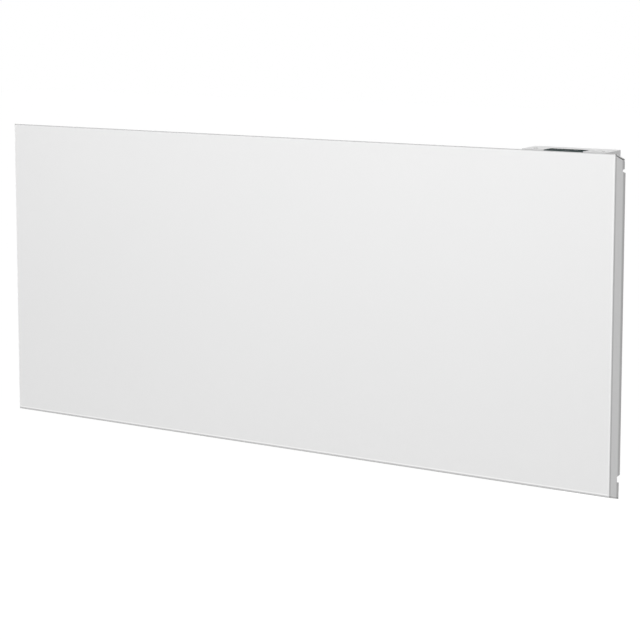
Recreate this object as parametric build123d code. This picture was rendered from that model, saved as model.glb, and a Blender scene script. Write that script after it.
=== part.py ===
"""Wall panel convector heater: folded front panel, pressed rear casing, finned element,
top control box, and a wall bracket on which the heater tilts forward.

Millimetres. X runs along the panel to the right, Y runs back to the wall and Z runs up.
The wall is the plane y = 0, and the origin is the centre of the four wall screws.
"""

from build123d import *

import math
import os

# ---------------------------------------------------------------- driving dimensions
panel_width = 882.0
panel_height = 370.0
total_depth = 84.0          # wall to the front face

# front panel
panel_sheet = 1.0
panel_side_depth = 24.2     # side flange, between the two notches
corner_side_depth = 22.3    # side flange, beyond the notches
front_bend = 2.0
rear_bend = 2.5
panel_return = 14.0         # inward return behind each side
corner_relief = 3.0         # the corner stretches reach this far past the return
bottom_return = 10.0        # upward return behind the bottom
top_slope = 20.0            # degrees, down towards the wall
bottom_slope = 13.0         # degrees, down towards the wall
top_lip = 10.0              # depth of the top flange in front of the outlet grille
top_land = 34.0             # full-depth part of the top flange at each end
corner_slit = 1.2           # open seam between the side flange and the top flange
corner_slit_start = 2.0     # the seam begins behind the front bend

# notches in the rear edge of each side flange; the upper one has a level top edge
upper_notch_drop = 18.2     # from the panel's top to the notch's top edge
upper_notch_outer = 4.8
upper_notch_inner = 2.4
upper_notch_depth = 7.2
lower_notch_rise = 17.3     # from the panel's bottom to the notch's centre
lower_notch_outer = 10.0
lower_notch_inner = 5.9
lower_notch_depth = 7.7

# rear casing
casing_sheet = 0.8
casing_inset = 30.0         # panel side to casing side
casing_back_gap = 28.0      # casing back to the wall
casing_floor_rise = 5.0     # panel bottom edge to casing floor
casing_bend = 2.0
casing_flange = 23.5
casing_flange_drop = 25.0   # panel top to the side flange's upper end
floor_flange = 8.0
bead_count = 2              # pressed beads across the back, between the uprights
bead_rise = 175.0           # panel bottom to the lowest bead
bead_pitch = 70.0
bead_width = 14.0
bead_height = 1.5
bead_side_gap = 18.0        # upright to the bead's end
seat_gap = 0.1              # between sheets that lie on each other on a slope
fit_gap = 0.05              # radial, round shafts, screws and tubes

# air grilles
slot_pitch = 12.0
slot_width = 7.0
grille_margin = 4.0         # from a grille's edge, or the opening's, to the slots
grille_tuck = 5.0           # outlet grille under the panel's top lip
inlet_left_gap = 31.0       # casing side to the inlet opening
inlet_right_gap = 71.0
inlet_front_gap = 5.0
inlet_back_gap = 6.0

# wall bracket
bracket_sheet = 1.5
wall_hole_spacing_x = 600.0
wall_hole_spacing_z = 200.0
wall_hole_radius = 3.25
rail_end = 30.0             # wall hole to the rail's end
rail_height = 30.0
upright_spacing = 500.0
upright_width = 34.0
upright_depth = 18.5
upright_above_catch = 12.0
pivot_y = -15.0
pivot_rise = 25.0           # panel bottom to the pivot
pivot_radius = 3.0
pivot_edge = 5.0            # pivot centre to the upright's front and lower edges
pin_end = 1.5
pin_head_height = 1.5
pin_head_rim = 1.5

# hooks, catches and latches
hook_sheet = 2.0
hook_width = 24.0
hook_base_low = 12.0        # base plate below the pivot
hook_base_high = 32.0       # base plate above the pivot
hook_seat_low = 6.0         # ear below the pivot
hook_tip = 6.0              # ear behind the pivot
catch_drop = 45.0           # panel top to the catch bar
catch_y = -14.0
catch_bar_radius = 2.5
catch_bar_end = 0.4
catch_width = 24.0
catch_sheet = 1.5
catch_above = 8.0
catch_below = 20.0
latch_sheet = 0.8
latch_width = 14.0
latch_play = 0.3
latch_tail = 36.0           # catch bar down to the latch's lower end
latch_nose = 4.6

# control box
control_width = 106.5
control_side_gap = 11.0     # panel side to the control box's right face
control_depth = 29.6
control_front_gap = 1.4     # front face of the panel to the control box
control_rise = 1.5          # top surface, front edge to back edge
control_height = 57.0
cover_height = 12.0
plastic_wall = 2.0
control_cut_gap = 0.6
cover_round = 0.6
cover_corner = 1.1

display_left = 28.4         # from the control box's left face
display_width = 48.8
display_front = 1.3
display_depth = 12.9
lens_thickness = 1.2
lens_ledge = 2.0
lens_gap = 0.1
screen_height = 6.4
screen_gap = 0.5

button_size = 11.0
button_corner = 0.8
button_skirt = 1.2
button_brim = 0.8           # flange under the cover, past the cap
button_travel = 0.8
button_gap = 0.25
button_front = 9.0          # control box's front to the button's centre
button_stem_radius = 2.0
left_button_offsets = {"standby_button": 13.0}       # from the box's left face
right_button_offsets = {"minus_button": 22.5, "plus_button": 9.5}

board_sheet = 1.6
board_gap = 0.5             # board edge to the box's wall
board_rise = 1.6            # control board above the cover's lower edge
board_screw_head = 1.4
board_screw_rim = 2.7
board_screw_bite = 3.5
post_radius = 2.5
post_inset = 6.5
power_board_rise = 8.0      # power board above the box's floor
boss_radius = 3.0
boss_inset = 8.0
switch_size = 6.0
switch_body = 3.4
switch_height = 4.1
switch_plunger = 1.7
relay_height = 15.0
supply_height = 13.0
choke_height = 11.0
connector_height = 9.0
capacitor_height = 12.0
capacitor_radius = 5.0

control_bracket_left = 12.0  # from the control box's left face
control_bracket_right = 28.0
control_bracket_low = 6.0    # above the control box's floor
control_bracket_high = 30.0
control_bracket_foot = 13.0
control_screw_left = 26.0
control_screw_right = 41.0
control_screw_rise = 24.0
bracket_foot_screw = 7.5
bracket_foot_screw_rise = 18.0

# heating element
element_rise = 75.0         # panel bottom to the middle of the element
element_y = -54.0
element_leg_gap = 30.0
element_left_gap = 66.0     # casing side to the half-turn
element_right_gap = 89.0    # casing side to the ceramic caps
tube_radius = 4.0
terminal_cap = 12.0
terminal_stud = 14.0
terminal_stud_radius = 1.5
fin_width = 40.0
fin_height = 62.0
fin_sheet = 0.5
fin_pitch = 10.0
fin_left_gap = 14.0         # left bracket to the first fin
fin_right_gap = 13.0
shield_sheet = 0.5
shield_side_gap = 61.0      # casing side to the shield
shield_rise = 25.0          # panel bottom to the shield
shield_height = 230.0
shield_lip = 6.0
shield_front_gap = 4.0      # panel sheet to shield
element_bracket_sheet = 1.2
left_bracket_inset = 29.0   # half-turn to the left bracket
right_bracket_inset = 20.0  # ceramic caps to the right bracket
element_bracket_height = 86.0
element_bracket_flange = 12.0
element_screw_reach = 7.0
element_screw_inset = 12.0
bushing_outer = 7.0
bushing_half = 2.5

# thermal cut-out and air sensor
cutout_side_gap = 261.0     # casing side to the cut-out
cutout_over_fins = 31.0
cutout_radius = 8.0
cutout_height = 11.0
cutout_plate = 1.2
cutout_lift = 5.0           # casing's back to the clip's seat
cutout_half_width = 13.0
cutout_half_height = 9.0
cutout_screw_reach = 19.0
cutout_foot = 24.0
cutout_tab_root = 2.0
cutout_tab_reach = 16.0
cutout_tab_half = 3.0
cutout_tab_sheet = 0.8
sensor_side_gap = 13.0
sensor_rise = 35.0
sensor_depth = 6.0          # casing's back to the sensor's middle
sensor_radius = 2.5
sensor_half = 11.0
sensor_holder_half = 6.0
sensor_holder_depth = 10.0
sensor_holder_reach = 9.0

# wiring bay
gland_side_gap = 36.0
gland_y = -45.0
gland_bore_radius = 3.75
gland_sleeve_radius = 6.0
gland_flange_radius = 9.0
gland_flange = 3.0
gland_below = 10.0          # casing floor to the gland's lower end
gland_above = 10.0
gland_nut_radius = 10.0
gland_nut_height = 4.0
terminal_side_gap = 39.0
terminal_rise = 67.0
terminal_pitch = 9.0
terminal_width = 30.0
terminal_height = 18.0
terminal_depth = 16.0
terminal_wire_depth = 8.0   # casing's back to the wires' middle
terminal_well = 4.0
terminal_well_radius = 2.2
terminal_screw_height = 3.0
terminal_screw_rise = 4.0
terminal_hole_radius = 1.8
terminal_hole_depth = 6.0
earth_side_gap = 65.0
earth_rise = 45.0
earth_stud_radius = 2.0
earth_stud_length = 13.0
earth_disc = 1.0
earth_disc_radius = 5.0
earth_nut_radius = 3.8
earth_nut_height = 3.0
lug_sheet = 1.0
lug_barrel = (5.0, 13.0)    # from the stud's middle up to the barrel's ends
lug_barrel_wall = 0.4
lug_barrel_lift = 0.6

# power switch
rocker_drop = 93.0          # panel top to the rocker's middle
rocker_y = -45.0
rocker_height = 21.0
rocker_width = 15.0
rocker_rim = 1.6            # how far the bezel stands out
rocker_bezel = 1.6          # width of the bezel
rocker_wall = 1.2
rocker_body_gap = 0.2
rocker_body_depth = 14.0
rocker_well = 9.0
rocker_tab = 6.0
rocker_tab_half = 2.4
rocker_tab_sheet = 0.8
rocker_tab_step = 6.0
rocker_play = 0.4
rocker_pin_radius = 1.0
rocker_pivot_in = 3.0       # pivot behind the casing's side face
rocker_crown = 5.0          # pivot to the middle of the rocker's face
rocker_heel = 2.5           # rocker behind its pivot
rocker_tilt = 10.0          # degrees each side of the middle

# fasteners
screw_radius = 1.5
screw_head_radius = 3.2
screw_head_height = 1.8
long_screw = 6.0
short_screw = 5.0
rivet_radius = 2.0
rivet_head_radius = 3.2
rivet_head_height = 1.2
side_screw_count = 4
side_screw_low = 40.0       # panel bottom to the lowest side screw
side_screw_high = 75.0      # panel top to the highest side screw
side_screw_inset = 4.0      # return's inner edge to the screw
bottom_screw_count = 4
bottom_screw_inset = 81.0
rail_rivet_offset = 11.5
hook_rivet_rises = (15.0, 26.0)
catch_rivet_drop = 15.0
latch_rivet_drops = (30.0, 20.0)

# wires
wire_radius = 1.2
wire_bend = 8.0
wire_lane_pitch = 8.0
wire_lane_half = 4.0
wire_lane_in = 14.6         # control box's front to the lanes
wire_hole_left = 44.0       # control box's left face to the wire hole
wire_loop = 14.0
block_lane_rise = 129.0     # terminal block's top to where its wires turn forward
lane_climb = 40.0

# ---------------------------------------------------------------- derived places
half_width = panel_width / 2
panel_top = panel_height / 2
panel_bottom = -panel_height / 2
front_y = -total_depth
panel_rear_y = front_y + panel_side_depth
upper_notch_z = panel_top - upper_notch_drop
lower_notch_z = panel_bottom + lower_notch_rise

casing_half = half_width - casing_inset
casing_back_y = -casing_back_gap
casing_inner_y = casing_back_y - casing_sheet
casing_floor_z = panel_bottom + casing_floor_rise
flange_half = casing_half + casing_flange
casing_flange_top = panel_top - casing_flange_drop

control_right = half_width - control_side_gap
control_left = control_right - control_width
control_front = front_y + control_front_gap
control_back = control_front + control_depth
control_floor = panel_top - control_height
cover_floor = panel_top - cover_height
board_z = cover_floor + board_rise
power_board_z = control_floor + power_board_rise

web_y = -bracket_sheet
web_front_y = -2 * bracket_sheet
upright_front_y = web_y - upright_depth
pivot_z = panel_bottom + pivot_rise
upright_bottom = pivot_z - pivot_edge
catch_z = panel_top - catch_drop
upright_top = catch_z + upright_above_catch
upright_centres = {"left": -upright_spacing / 2, "right": upright_spacing / 2}
rail_heights = {"lower": -wall_hole_spacing_z / 2, "upper": wall_hole_spacing_z / 2}

element_z = panel_bottom + element_rise
element_left = element_left_gap - casing_half
element_right = casing_half - element_right_gap
element_bracket_x = {"left": element_left + left_bracket_inset,
                     "right": element_right - right_bracket_inset}
outward = {"left": -1, "right": 1}
leg_heights = (element_z - element_leg_gap / 2, element_z + element_leg_gap / 2)
shield_y = front_y + panel_sheet + shield_front_gap
shield_low = panel_bottom + shield_rise

cutout_x = casing_half - cutout_side_gap
cutout_z = element_z + fin_height / 2 + cutout_over_fins
sensor_x = casing_half - sensor_side_gap
sensor_z = panel_bottom + sensor_rise
sensor_y = casing_inner_y - sensor_depth
gland_x = casing_half - gland_side_gap
terminal_x = casing_half - terminal_side_gap
terminal_z = panel_bottom + terminal_rise
earth_x = casing_half - earth_side_gap
earth_z = panel_bottom + earth_rise
rocker_z = panel_top - rocker_drop
wire_lane_y = control_front + wire_lane_in
wire_hole_x0 = control_left + wire_hole_left
wire_hole_x1 = wire_hole_x0 + 5 * wire_lane_pitch
past = 1.0                  # how far a cutter runs past what it cuts


def top_outer(y):
    """Height of the panel's sloped top surface."""
    return panel_top - (y - front_y) * math.tan(math.radians(top_slope))


def bottom_outer(y):
    """Height of the panel's sloped bottom surface."""
    return panel_bottom - (y - front_y) * math.tan(math.radians(bottom_slope))


def on_slope(thickness, slope=top_slope):
    """Upright measure of a thickness taken square to a slope."""
    return thickness / math.cos(math.radians(slope))


def control_top(y):
    """Height of the control box's slightly rising top surface."""
    return panel_top + (y - control_front) * control_rise / control_depth


# ---------------------------------------------------------------- shape helpers
def block(x0, x1, y0, y1, z0, z1):
    centre = Pos((x0 + x1) / 2, (y0 + y1) / 2, (z0 + z1) / 2)
    return centre * Box(x1 - x0, y1 - y0, z1 - z0)


def prism(points, x0, x1):
    """A (y, z) outline drawn out along X from x0 to x1."""
    outline = Plane.YZ.offset(x0) * make_face(Polyline(*points, close=True))
    return extrude(outline, x1 - x0)


def rod_x(x0, x1, y, z, radius):
    return Pos((x0 + x1) / 2, y, z) * Rot(0, 90, 0) * Cylinder(radius, x1 - x0)


def rod_y(x, y0, y1, z, radius):
    return Pos(x, (y0 + y1) / 2, z) * Rot(90, 0, 0) * Cylinder(radius, y1 - y0)


def rod_z(x, y, z0, z1, radius):
    return Pos(x, y, (z0 + z1) / 2) * Cylinder(radius, z1 - z0)


def edges_along(shape, axis, **where):
    """Edges parallel to an axis whose centres lie at the given coordinates."""
    def matches(edge):
        centre = edge.center()
        return all(abs(getattr(centre, key.upper()) - value) < 0.05 for key, value in where.items())
    return [edge for edge in shape.edges().filter_by(axis) if matches(edge)]


def strip_along(points, radii, thickness, x0, x1):
    """A bent strip: a (y, z) centre line with rounded corners, as wide as x0 to x1."""
    middle = (x0 + x1) / 2
    path = FilletPolyline(*[(middle, y, z) for y, z in points], radius=radii)
    start = Plane(origin=path @ 0, x_dir=(1, 0, 0), z_dir=path % 0)
    return sweep(start * Rectangle(x1 - x0, thickness), path=path)


def wire_along(points, radius, bend):
    """A round wire along straight runs joined by arcs, tighter where the runs are short."""
    runs = [Vector(*end) - Vector(*start) for start, end in zip(points, points[1:])]
    room = [0.45 * run.length for run in runs]
    room[0] *= 2
    room[-1] *= 2
    bends = []
    for i in range(len(runs) - 1):
        half_turn = math.radians(runs[i].get_angle(runs[i + 1])) / 2
        bends.append(min(bend, min(room[i], room[i + 1]) / math.tan(half_turn)))
    path = FilletPolyline(*points, radius=bends)
    return sweep(Plane(origin=path @ 0, z_dir=path % 0) * Circle(radius), path=path)


def rivet_y(x, y_head, y_tail, z):
    """A rivet whose domed head stands out towards -Y."""
    crown = rod_y(x, y_head - rivet_head_height, y_head, z, rivet_head_radius)
    rim = crown.edges().filter_by(GeomType.CIRCLE).sort_by(Axis.Y)[0]
    return rod_y(x, y_head, y_tail, z, rivet_radius) + fillet(rim, rivet_head_height * 0.7)


def rivet_from_back(x, y_seat, z, length):
    """A rivet whose domed head stands out towards +Y."""
    head = rod_y(x, y_seat, y_seat + rivet_head_height, z, rivet_head_radius)
    rim = head.edges().filter_by(GeomType.CIRCLE).sort_by(Axis.Y)[-1]
    return fillet(rim, rivet_head_height * 0.7) + rod_y(x, y_seat - length, y_seat, z, rivet_radius)


def screw_from_back(x, y_seat, z, length):
    """A cross-head screw whose head stands out towards +Y."""
    head = rod_y(x, y_seat, y_seat + screw_head_height, z, screw_head_radius)
    rim = head.edges().filter_by(GeomType.CIRCLE).sort_by(Axis.Y)[-1]
    return fillet(rim, screw_head_height * 0.5) + rod_y(x, y_seat - length, y_seat, z, screw_radius)


def rivet_hole(x, y, z):
    return rod_y(x, y - 2 * past, y + 2 * past, z, rivet_radius + fit_gap)


def screw_hole(x, y, z):
    return rod_y(x, y - 2 * past, y + 2 * past, z, screw_radius + fit_gap)


def both_sides(inner, outer, middle=0.0):
    """The x ranges of a pair of features mirrored about middle."""
    return [(middle - outer, middle - inner), (middle + inner, middle + outer)]


def save(name, *solids):
    shape = solids[0] if len(solids) == 1 else Compound(list(solids))
    export_step(shape, f"parts/{name}.step")


# ---------------------------------------------------------------- fastener places
def evenly(low, high, count):
    return [low + i * (high - low) / (count - 1) for i in range(count)]


def return_screws():
    """Places of the screws that join the casing to the panel's returns: x, z."""
    x = half_width - panel_return + side_screw_inset
    heights = evenly(panel_bottom + side_screw_low, panel_top - side_screw_high, side_screw_count)
    sides = [(side * x, z) for side in (-1, 1) for z in heights]
    reach = casing_half - bottom_screw_inset
    z = casing_floor_z - floor_flange / 2
    return sides + [(x, z) for x in evenly(-reach, reach, bottom_screw_count)]


def hook_rivet_places():
    """Rivets of the hooks and catches: x, the seat of the head, z."""
    hooks = [(x, casing_back_y + hook_sheet, pivot_z + rise) for x in upright_centres.values()
             for rise in hook_rivet_rises]
    catches = [(x, casing_back_y + catch_sheet, catch_z - catch_rivet_drop)
               for x in upright_centres.values()]
    return hooks + catches


def rail_rivet_places(x):
    return [(x + side * rail_rivet_offset, z) for z in rail_heights.values() for side in (-1, 1)]


def bracket_screw_places(side):
    """Screws through an element bracket's rear flange: x, z."""
    x = element_bracket_x[side] + outward[side] * element_screw_reach
    reach = element_bracket_height / 2 - element_screw_inset
    return [(x, element_z - reach), (x, element_z + reach)]


def cutout_screw_places():
    return [(cutout_x + side * cutout_screw_reach, cutout_z) for side in (-1, 1)]


def control_bracket_screw_places():
    z = control_floor + bracket_foot_screw_rise
    return [(control_left + control_bracket_left + bracket_foot_screw, z),
            (control_right - control_bracket_right - bracket_foot_screw, z)]


def control_screw_places():
    """Screws between the control housing's back and its bracket: x, z."""
    z = control_floor + control_screw_rise
    return [(control_left + control_screw_left, z), (control_right - control_screw_right, z)]


def back_screw_places():
    """Every screw that enters through the casing's back: x, z."""
    return (control_bracket_screw_places() + cutout_screw_places()
            + bracket_screw_places("left") + bracket_screw_places("right"))


# ---------------------------------------------------------------- front panel
def tray(depth):
    """The folded sheet with one flange depth all round, open at the back."""
    def outline(inset, back):
        fore = front_y + inset
        high = on_slope(inset)
        low = on_slope(inset, bottom_slope)
        return [
            (fore, bottom_outer(fore) + low),
            (fore, top_outer(fore) - high),
            (back, top_outer(back) - high),
            (back, bottom_outer(back) + low),
        ]

    def rounded(inset, back):
        half = half_width - inset
        body = prism(outline(inset, back), -half, half)
        front = body.edges().group_by(Axis.Y)[0]
        body = fillet(front, front_bend - inset)
        uprights = edges_along(body, Axis.Z, y=back)
        return fillet(uprights, rear_bend - inset)

    rear = front_y + depth
    outer = rounded(0, rear)
    inner = rounded(panel_sheet, rear - panel_sheet)
    opening_half = half_width - panel_return
    opening = block(-opening_half, opening_half, rear - 2 * panel_sheet, rear + panel_sheet,
                    bottom_outer(rear) + bottom_return, panel_top)
    return outer - inner - opening


def corner_zones():
    """Where the side flanges have their corner depth: above and below the notches."""
    inner = half_width - panel_return - corner_relief
    zones = []
    for xs in both_sides(inner, half_width + past):
        zones.append(block(*xs, front_y - past, 0, upper_notch_z, panel_top + past))
        zones.append(block(*xs, front_y - past, 0, 2 * panel_bottom, lower_notch_z))
    return zones


def notch_cutters():
    upper_y = panel_rear_y - upper_notch_depth
    lower_y = panel_rear_y - lower_notch_depth
    upper = [
        (upper_y, upper_notch_z),
        (panel_rear_y + past, upper_notch_z),
        (panel_rear_y + past, upper_notch_z - upper_notch_outer),
        (upper_y, upper_notch_z - upper_notch_inner),
    ]
    lower = [
        (lower_y, lower_notch_z - lower_notch_inner / 2),
        (lower_y, lower_notch_z + lower_notch_inner / 2),
        (panel_rear_y + past, lower_notch_z + lower_notch_outer / 2),
        (panel_rear_y + past, lower_notch_z - lower_notch_outer / 2),
    ]
    cutters = []
    for xs in both_sides(half_width - panel_return - corner_relief, half_width + past):
        notch = prism(upper, *xs)
        inner = edges_along(notch, Axis.X, y=upper_y)
        cutters.append(fillet(inner, upper_notch_inner * 0.4))
        cutters.append(prism(lower, *xs))
    return cutters


def seam_cutters():
    """The open seam under the top flange at each corner."""
    fore = front_y + corner_slit_start
    rear = panel_rear_y + past
    under = on_slope(panel_sheet)
    points = [
        (fore, top_outer(fore) - under - corner_slit),
        (fore, top_outer(fore) - under),
        (rear, top_outer(rear) - under),
        (rear, top_outer(rear) - under - corner_slit),
    ]
    return [prism(points, *xs)
            for xs in both_sides(half_width - panel_return - corner_relief, half_width + past)]


def control_cut(gap=control_cut_gap):
    """The space that panel, casing and grille leave round the control box."""
    return block(control_left - gap, control_right + gap, front_y + panel_sheet + seat_gap,
                 control_back + gap, control_floor - gap, panel_top + cover_height)


def make_front_panel():
    panel = tray(panel_side_depth)
    corners = tray(corner_side_depth)
    for zone in corner_zones():
        panel = (panel - zone) + (corners & zone)
    land = half_width - top_land
    panel -= block(-land, land, front_y + top_lip, 0, panel_top - top_land, panel_top + past)
    panel -= control_cut()
    for cutter in notch_cutters() + seam_cutters():
        panel -= cutter
    for x, z in return_screws():
        panel -= screw_hole(x, panel_rear_y - panel_sheet / 2, z)
    return panel


# ---------------------------------------------------------------- rear casing
def grille_under(y):
    """Height of the outlet grille's underside."""
    return top_outer(y) - on_slope(panel_sheet) - on_slope(casing_sheet) - 2 * seat_gap


def bead(y, z):
    """A pressed bead that stands 45 degrees up from the face at y and runs along X."""
    reach = (upright_spacing - upright_width) / 2 - bead_side_gap
    face = Plane((0, y, z), x_dir=(1, 0, 0), z_dir=(0, 1, 0))
    return extrude(face * SlotOverall(2 * reach, bead_width), bead_height, taper=45)


def make_rear_casing():
    half = casing_half
    floor = casing_floor_z

    def shell(inset):
        fore = panel_rear_y - inset
        back = casing_back_y - inset
        rise = inset - seat_gap
        body = prism([
            (fore, floor + inset),
            (fore, grille_under(fore) + rise),
            (back, grille_under(back) + rise),
            (back, floor + inset),
        ], inset - half, half - inset)
        rear = edges_along(body, Axis.Z, y=back) + edges_along(body, Axis.X, y=back, z=floor + inset)
        return fillet(rear, casing_bend - inset)

    casing = shell(0) - shell(casing_sheet)
    back = panel_rear_y + casing_sheet
    low = floor - floor_flange
    for xs in both_sides(half - casing_sheet, flange_half):
        casing += block(*xs, panel_rear_y, back, low, casing_flange_top)
    casing += block(-half, half, panel_rear_y, back, low, floor + casing_sheet)
    for x, z in return_screws():
        casing -= screw_hole(x, panel_rear_y + casing_sheet / 2, z)
    casing -= control_cut()
    casing -= inlet_opening(0)
    casing -= rod_z(gland_x, gland_y, floor - past, floor + 2 * past, gland_sleeve_radius + fit_gap)
    casing -= rocker_opening()
    middle = casing_back_y - casing_sheet / 2
    for x, y, z in hook_rivet_places():
        casing -= rivet_hole(x, middle, z)
    for x, z in back_screw_places():
        casing -= screw_hole(x, middle, z)
    for i in range(bead_count):
        z = panel_bottom + bead_rise + i * bead_pitch
        casing = casing + bead(casing_back_y, z) - bead(casing_inner_y, z)
    return casing


def inlet_opening(grow):
    """The hole in the casing floor that the inlet grille covers."""
    return block(inlet_left_gap - casing_half - grow, casing_half - inlet_right_gap + grow,
                 panel_rear_y + inlet_front_gap - grow, casing_back_y - inlet_back_gap + grow,
                 casing_floor_z - past, casing_floor_z + casing_sheet + past)


def rocker_opening():
    reach_y = rocker_width / 2 - rocker_bezel
    reach_z = rocker_height / 2 - rocker_bezel
    return block(casing_half - casing_sheet - past, casing_half + past, rocker_y - reach_y,
                 rocker_y + reach_y, rocker_z - reach_z, rocker_z + reach_z)


# ---------------------------------------------------------------- grilles
def slots(x0, x1, y0, y1, z0, z1):
    """A row of upright cutters with round ends, one every slot_pitch, between x0 and x1."""
    count = int((x1 - x0 - slot_width) // slot_pitch) + 1
    first = (x0 + x1) / 2 - (count - 1) * slot_pitch / 2
    outline = SlotOverall(y1 - y0, slot_width, rotation=90)
    return [extrude(Pos(first + i * slot_pitch, (y0 + y1) / 2, z0) * outline, z1 - z0)
            for i in range(count)]


def sloped_plate(x0, x1, y0, y1):
    lift = on_slope(casing_sheet)
    return prism([
        (y0, grille_under(y0)),
        (y1, grille_under(y1)),
        (y1, grille_under(y1) + lift),
        (y0, grille_under(y0) + lift),
    ], x0, x1)


def make_outlet_grille():
    fore = front_y + top_lip
    left = -casing_half
    right = control_left - control_cut_gap
    plate = sloped_plate(left, right, fore - grille_tuck, casing_back_y)
    plate += sloped_plate(right, casing_half, control_back + control_cut_gap, casing_back_y)
    span = (left + grille_margin, right - grille_margin)
    height = (grille_under(casing_back_y) - past, panel_top)
    half_margin = grille_margin / 2
    cutters = slots(*span, fore + half_margin, panel_rear_y - half_margin / 2, *height)
    cutters += slots(*span, panel_rear_y + half_margin, casing_back_y - grille_margin, *height)
    return plate - cutters


def make_inlet_grille():
    low = casing_floor_z + casing_sheet
    cover = inlet_opening(grille_margin).bounding_box()
    hole = inlet_opening(-grille_margin).bounding_box()
    plate = block(cover.min.X, cover.max.X, cover.min.Y, cover.max.Y, low, low + casing_sheet)
    return plate - slots(hole.min.X, hole.max.X, hole.min.Y, hole.max.Y,
                         low - past, low + casing_sheet + past)


# ---------------------------------------------------------------- wall bracket
def make_rail(z):
    low = z - rail_height / 2
    reach = wall_hole_spacing_x / 2 + rail_end
    rail = block(-reach, reach, web_y, 0, low, low + rail_height)
    for x in (-wall_hole_spacing_x / 2, wall_hole_spacing_x / 2):
        rail -= rod_y(x, web_y - past, past, z, wall_hole_radius)
    for centre in upright_centres.values():
        for x in (centre - rail_rivet_offset, centre + rail_rivet_offset):
            rail -= rivet_hole(x, web_y / 2, z)
    return rail


def make_upright(x):
    """A channel that opens towards the heater, with rounded ends and a hole for the pin."""
    half = upright_width / 2
    upright = block(x - half, x + half, upright_front_y, web_y, upright_bottom, upright_top)
    upright = fillet(edges_along(upright, Axis.Z, y=web_y), bracket_sheet)
    upright -= block(x - half + bracket_sheet, x + half - bracket_sheet, upright_front_y - past,
                     web_front_y, upright_bottom - past, upright_top + past)
    front_low = edges_along(upright, Axis.X, y=upright_front_y, z=upright_bottom)
    front_high = edges_along(upright, Axis.X, y=upright_front_y, z=upright_top)
    upright = fillet(front_low + front_high, pivot_edge * 0.8)
    upright -= rod_x(x - half - past, x + half + past, pivot_y, pivot_z, pivot_radius + fit_gap)
    middle = web_y - bracket_sheet / 2
    for rivet_x, z in rail_rivet_places(x):
        upright -= rivet_hole(rivet_x, middle, z)
    for drop in latch_rivet_drops:
        upright -= rivet_hole(x, middle, catch_z - drop)
    return upright


def make_bracket_rivets():
    """Rivets through rail and upright, then those of the latches."""
    rivets = []
    for centre in upright_centres.values():
        rivets += [rivet_y(x, web_front_y, -seat_gap, z) for x, z in rail_rivet_places(centre)]
        rivets += [rivet_y(centre, web_front_y - latch_sheet, web_y - seat_gap, catch_z - drop)
                   for drop in latch_rivet_drops]
    return rivets


def make_pivot_pin(x):
    left = x - upright_width / 2 - pin_end
    seat = x + upright_width / 2 + seat_gap
    pin = rod_x(left, seat, pivot_y, pivot_z, pivot_radius)
    return pin + rod_x(seat, seat + pin_head_height, pivot_y, pivot_z, pivot_radius + pin_head_rim)


def make_latch(x):
    """A spring strip on the upright that hooks over the casing's catch bar."""
    lift = catch_bar_radius + latch_play + latch_sheet / 2
    flat_y = web_front_y - latch_sheet / 2
    over_z = catch_z + lift
    nose_y = catch_y - lift
    turn = latch_sheet * 0.75
    points = [
        (flat_y, catch_z - latch_tail),
        (flat_y, over_z),
        (nose_y, over_z),
        (nose_y - turn, catch_z + turn),
        (nose_y - latch_nose, catch_z + latch_nose),
    ]
    radii = [2.5 * latch_sheet, lift - latch_play, 1.5 * latch_sheet]
    half = latch_width / 2
    strip = strip_along(points, radii, latch_sheet, x - half, x + half)
    for drop in latch_rivet_drops:
        strip -= rivet_hole(x, flat_y, catch_z - drop)
    return strip


# ---------------------------------------------------------------- hooks and catches
def make_hook(x):
    """A folded hook plate: a base on the casing's back and two ears that sit on the pin."""
    half = hook_width / 2
    back = casing_back_y + hook_sheet
    foot = pivot_z - hook_seat_low - hook_sheet
    hook = block(x - half, x + half, casing_back_y, back,
                 pivot_z - hook_base_low, pivot_z + hook_base_high)
    ear = [
        (casing_back_y, foot),
        (casing_back_y, pivot_z + 0.7 * hook_base_high),
        (pivot_y, pivot_z + hook_tip + 2 * hook_sheet),
        (pivot_y + hook_tip, pivot_z + hook_tip),
        (pivot_y + hook_tip, pivot_z - hook_seat_low),
        (pivot_y - 4 * hook_sheet, foot),
    ]
    for xs in both_sides(half - hook_sheet, half, x):
        hook += prism(ear, *xs)
    seat = pivot_radius + fit_gap
    across = (x - half - past, x + half + past)
    hook -= rod_x(*across, pivot_y, pivot_z, seat)
    hook -= block(*across, pivot_y - seat, pivot_y + seat, foot - past, pivot_z)
    for rise in hook_rivet_rises:
        hook -= rivet_hole(x, casing_back_y + hook_sheet / 2, pivot_z + rise)
    return hook


def make_catch(x):
    """A folded bridge on the casing's back that holds the latch bar."""
    half = catch_width / 2
    back = casing_back_y + catch_sheet
    catch = block(x - half, x + half, casing_back_y, back, catch_z - catch_below,
                  catch_z + catch_above)
    ear = [
        (casing_back_y, catch_z - catch_above),
        (casing_back_y, catch_z + catch_above),
        (catch_y + 0.8 * catch_bar_radius, catch_z + 2 * catch_bar_radius),
        (catch_y + 2 * catch_bar_radius, catch_z),
        (catch_y + 0.8 * catch_bar_radius, catch_z - 2 * catch_bar_radius),
    ]
    for xs in both_sides(half - catch_sheet, half, x):
        catch += prism(ear, *xs)
    catch -= rod_x(x - half - past, x + half + past, catch_y, catch_z, catch_bar_radius + fit_gap)
    return catch - rivet_hole(x, casing_back_y + catch_sheet / 2, catch_z - catch_rivet_drop)


def make_catch_bars():
    half = catch_width / 2 + catch_bar_end
    return [rod_x(x - half, x + half, catch_y, catch_z, catch_bar_radius)
            for x in upright_centres.values()]


def make_casing_rivets():
    return [rivet_from_back(x, y, z, y - casing_inner_y) for x, y, z in hook_rivet_places()]


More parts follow.
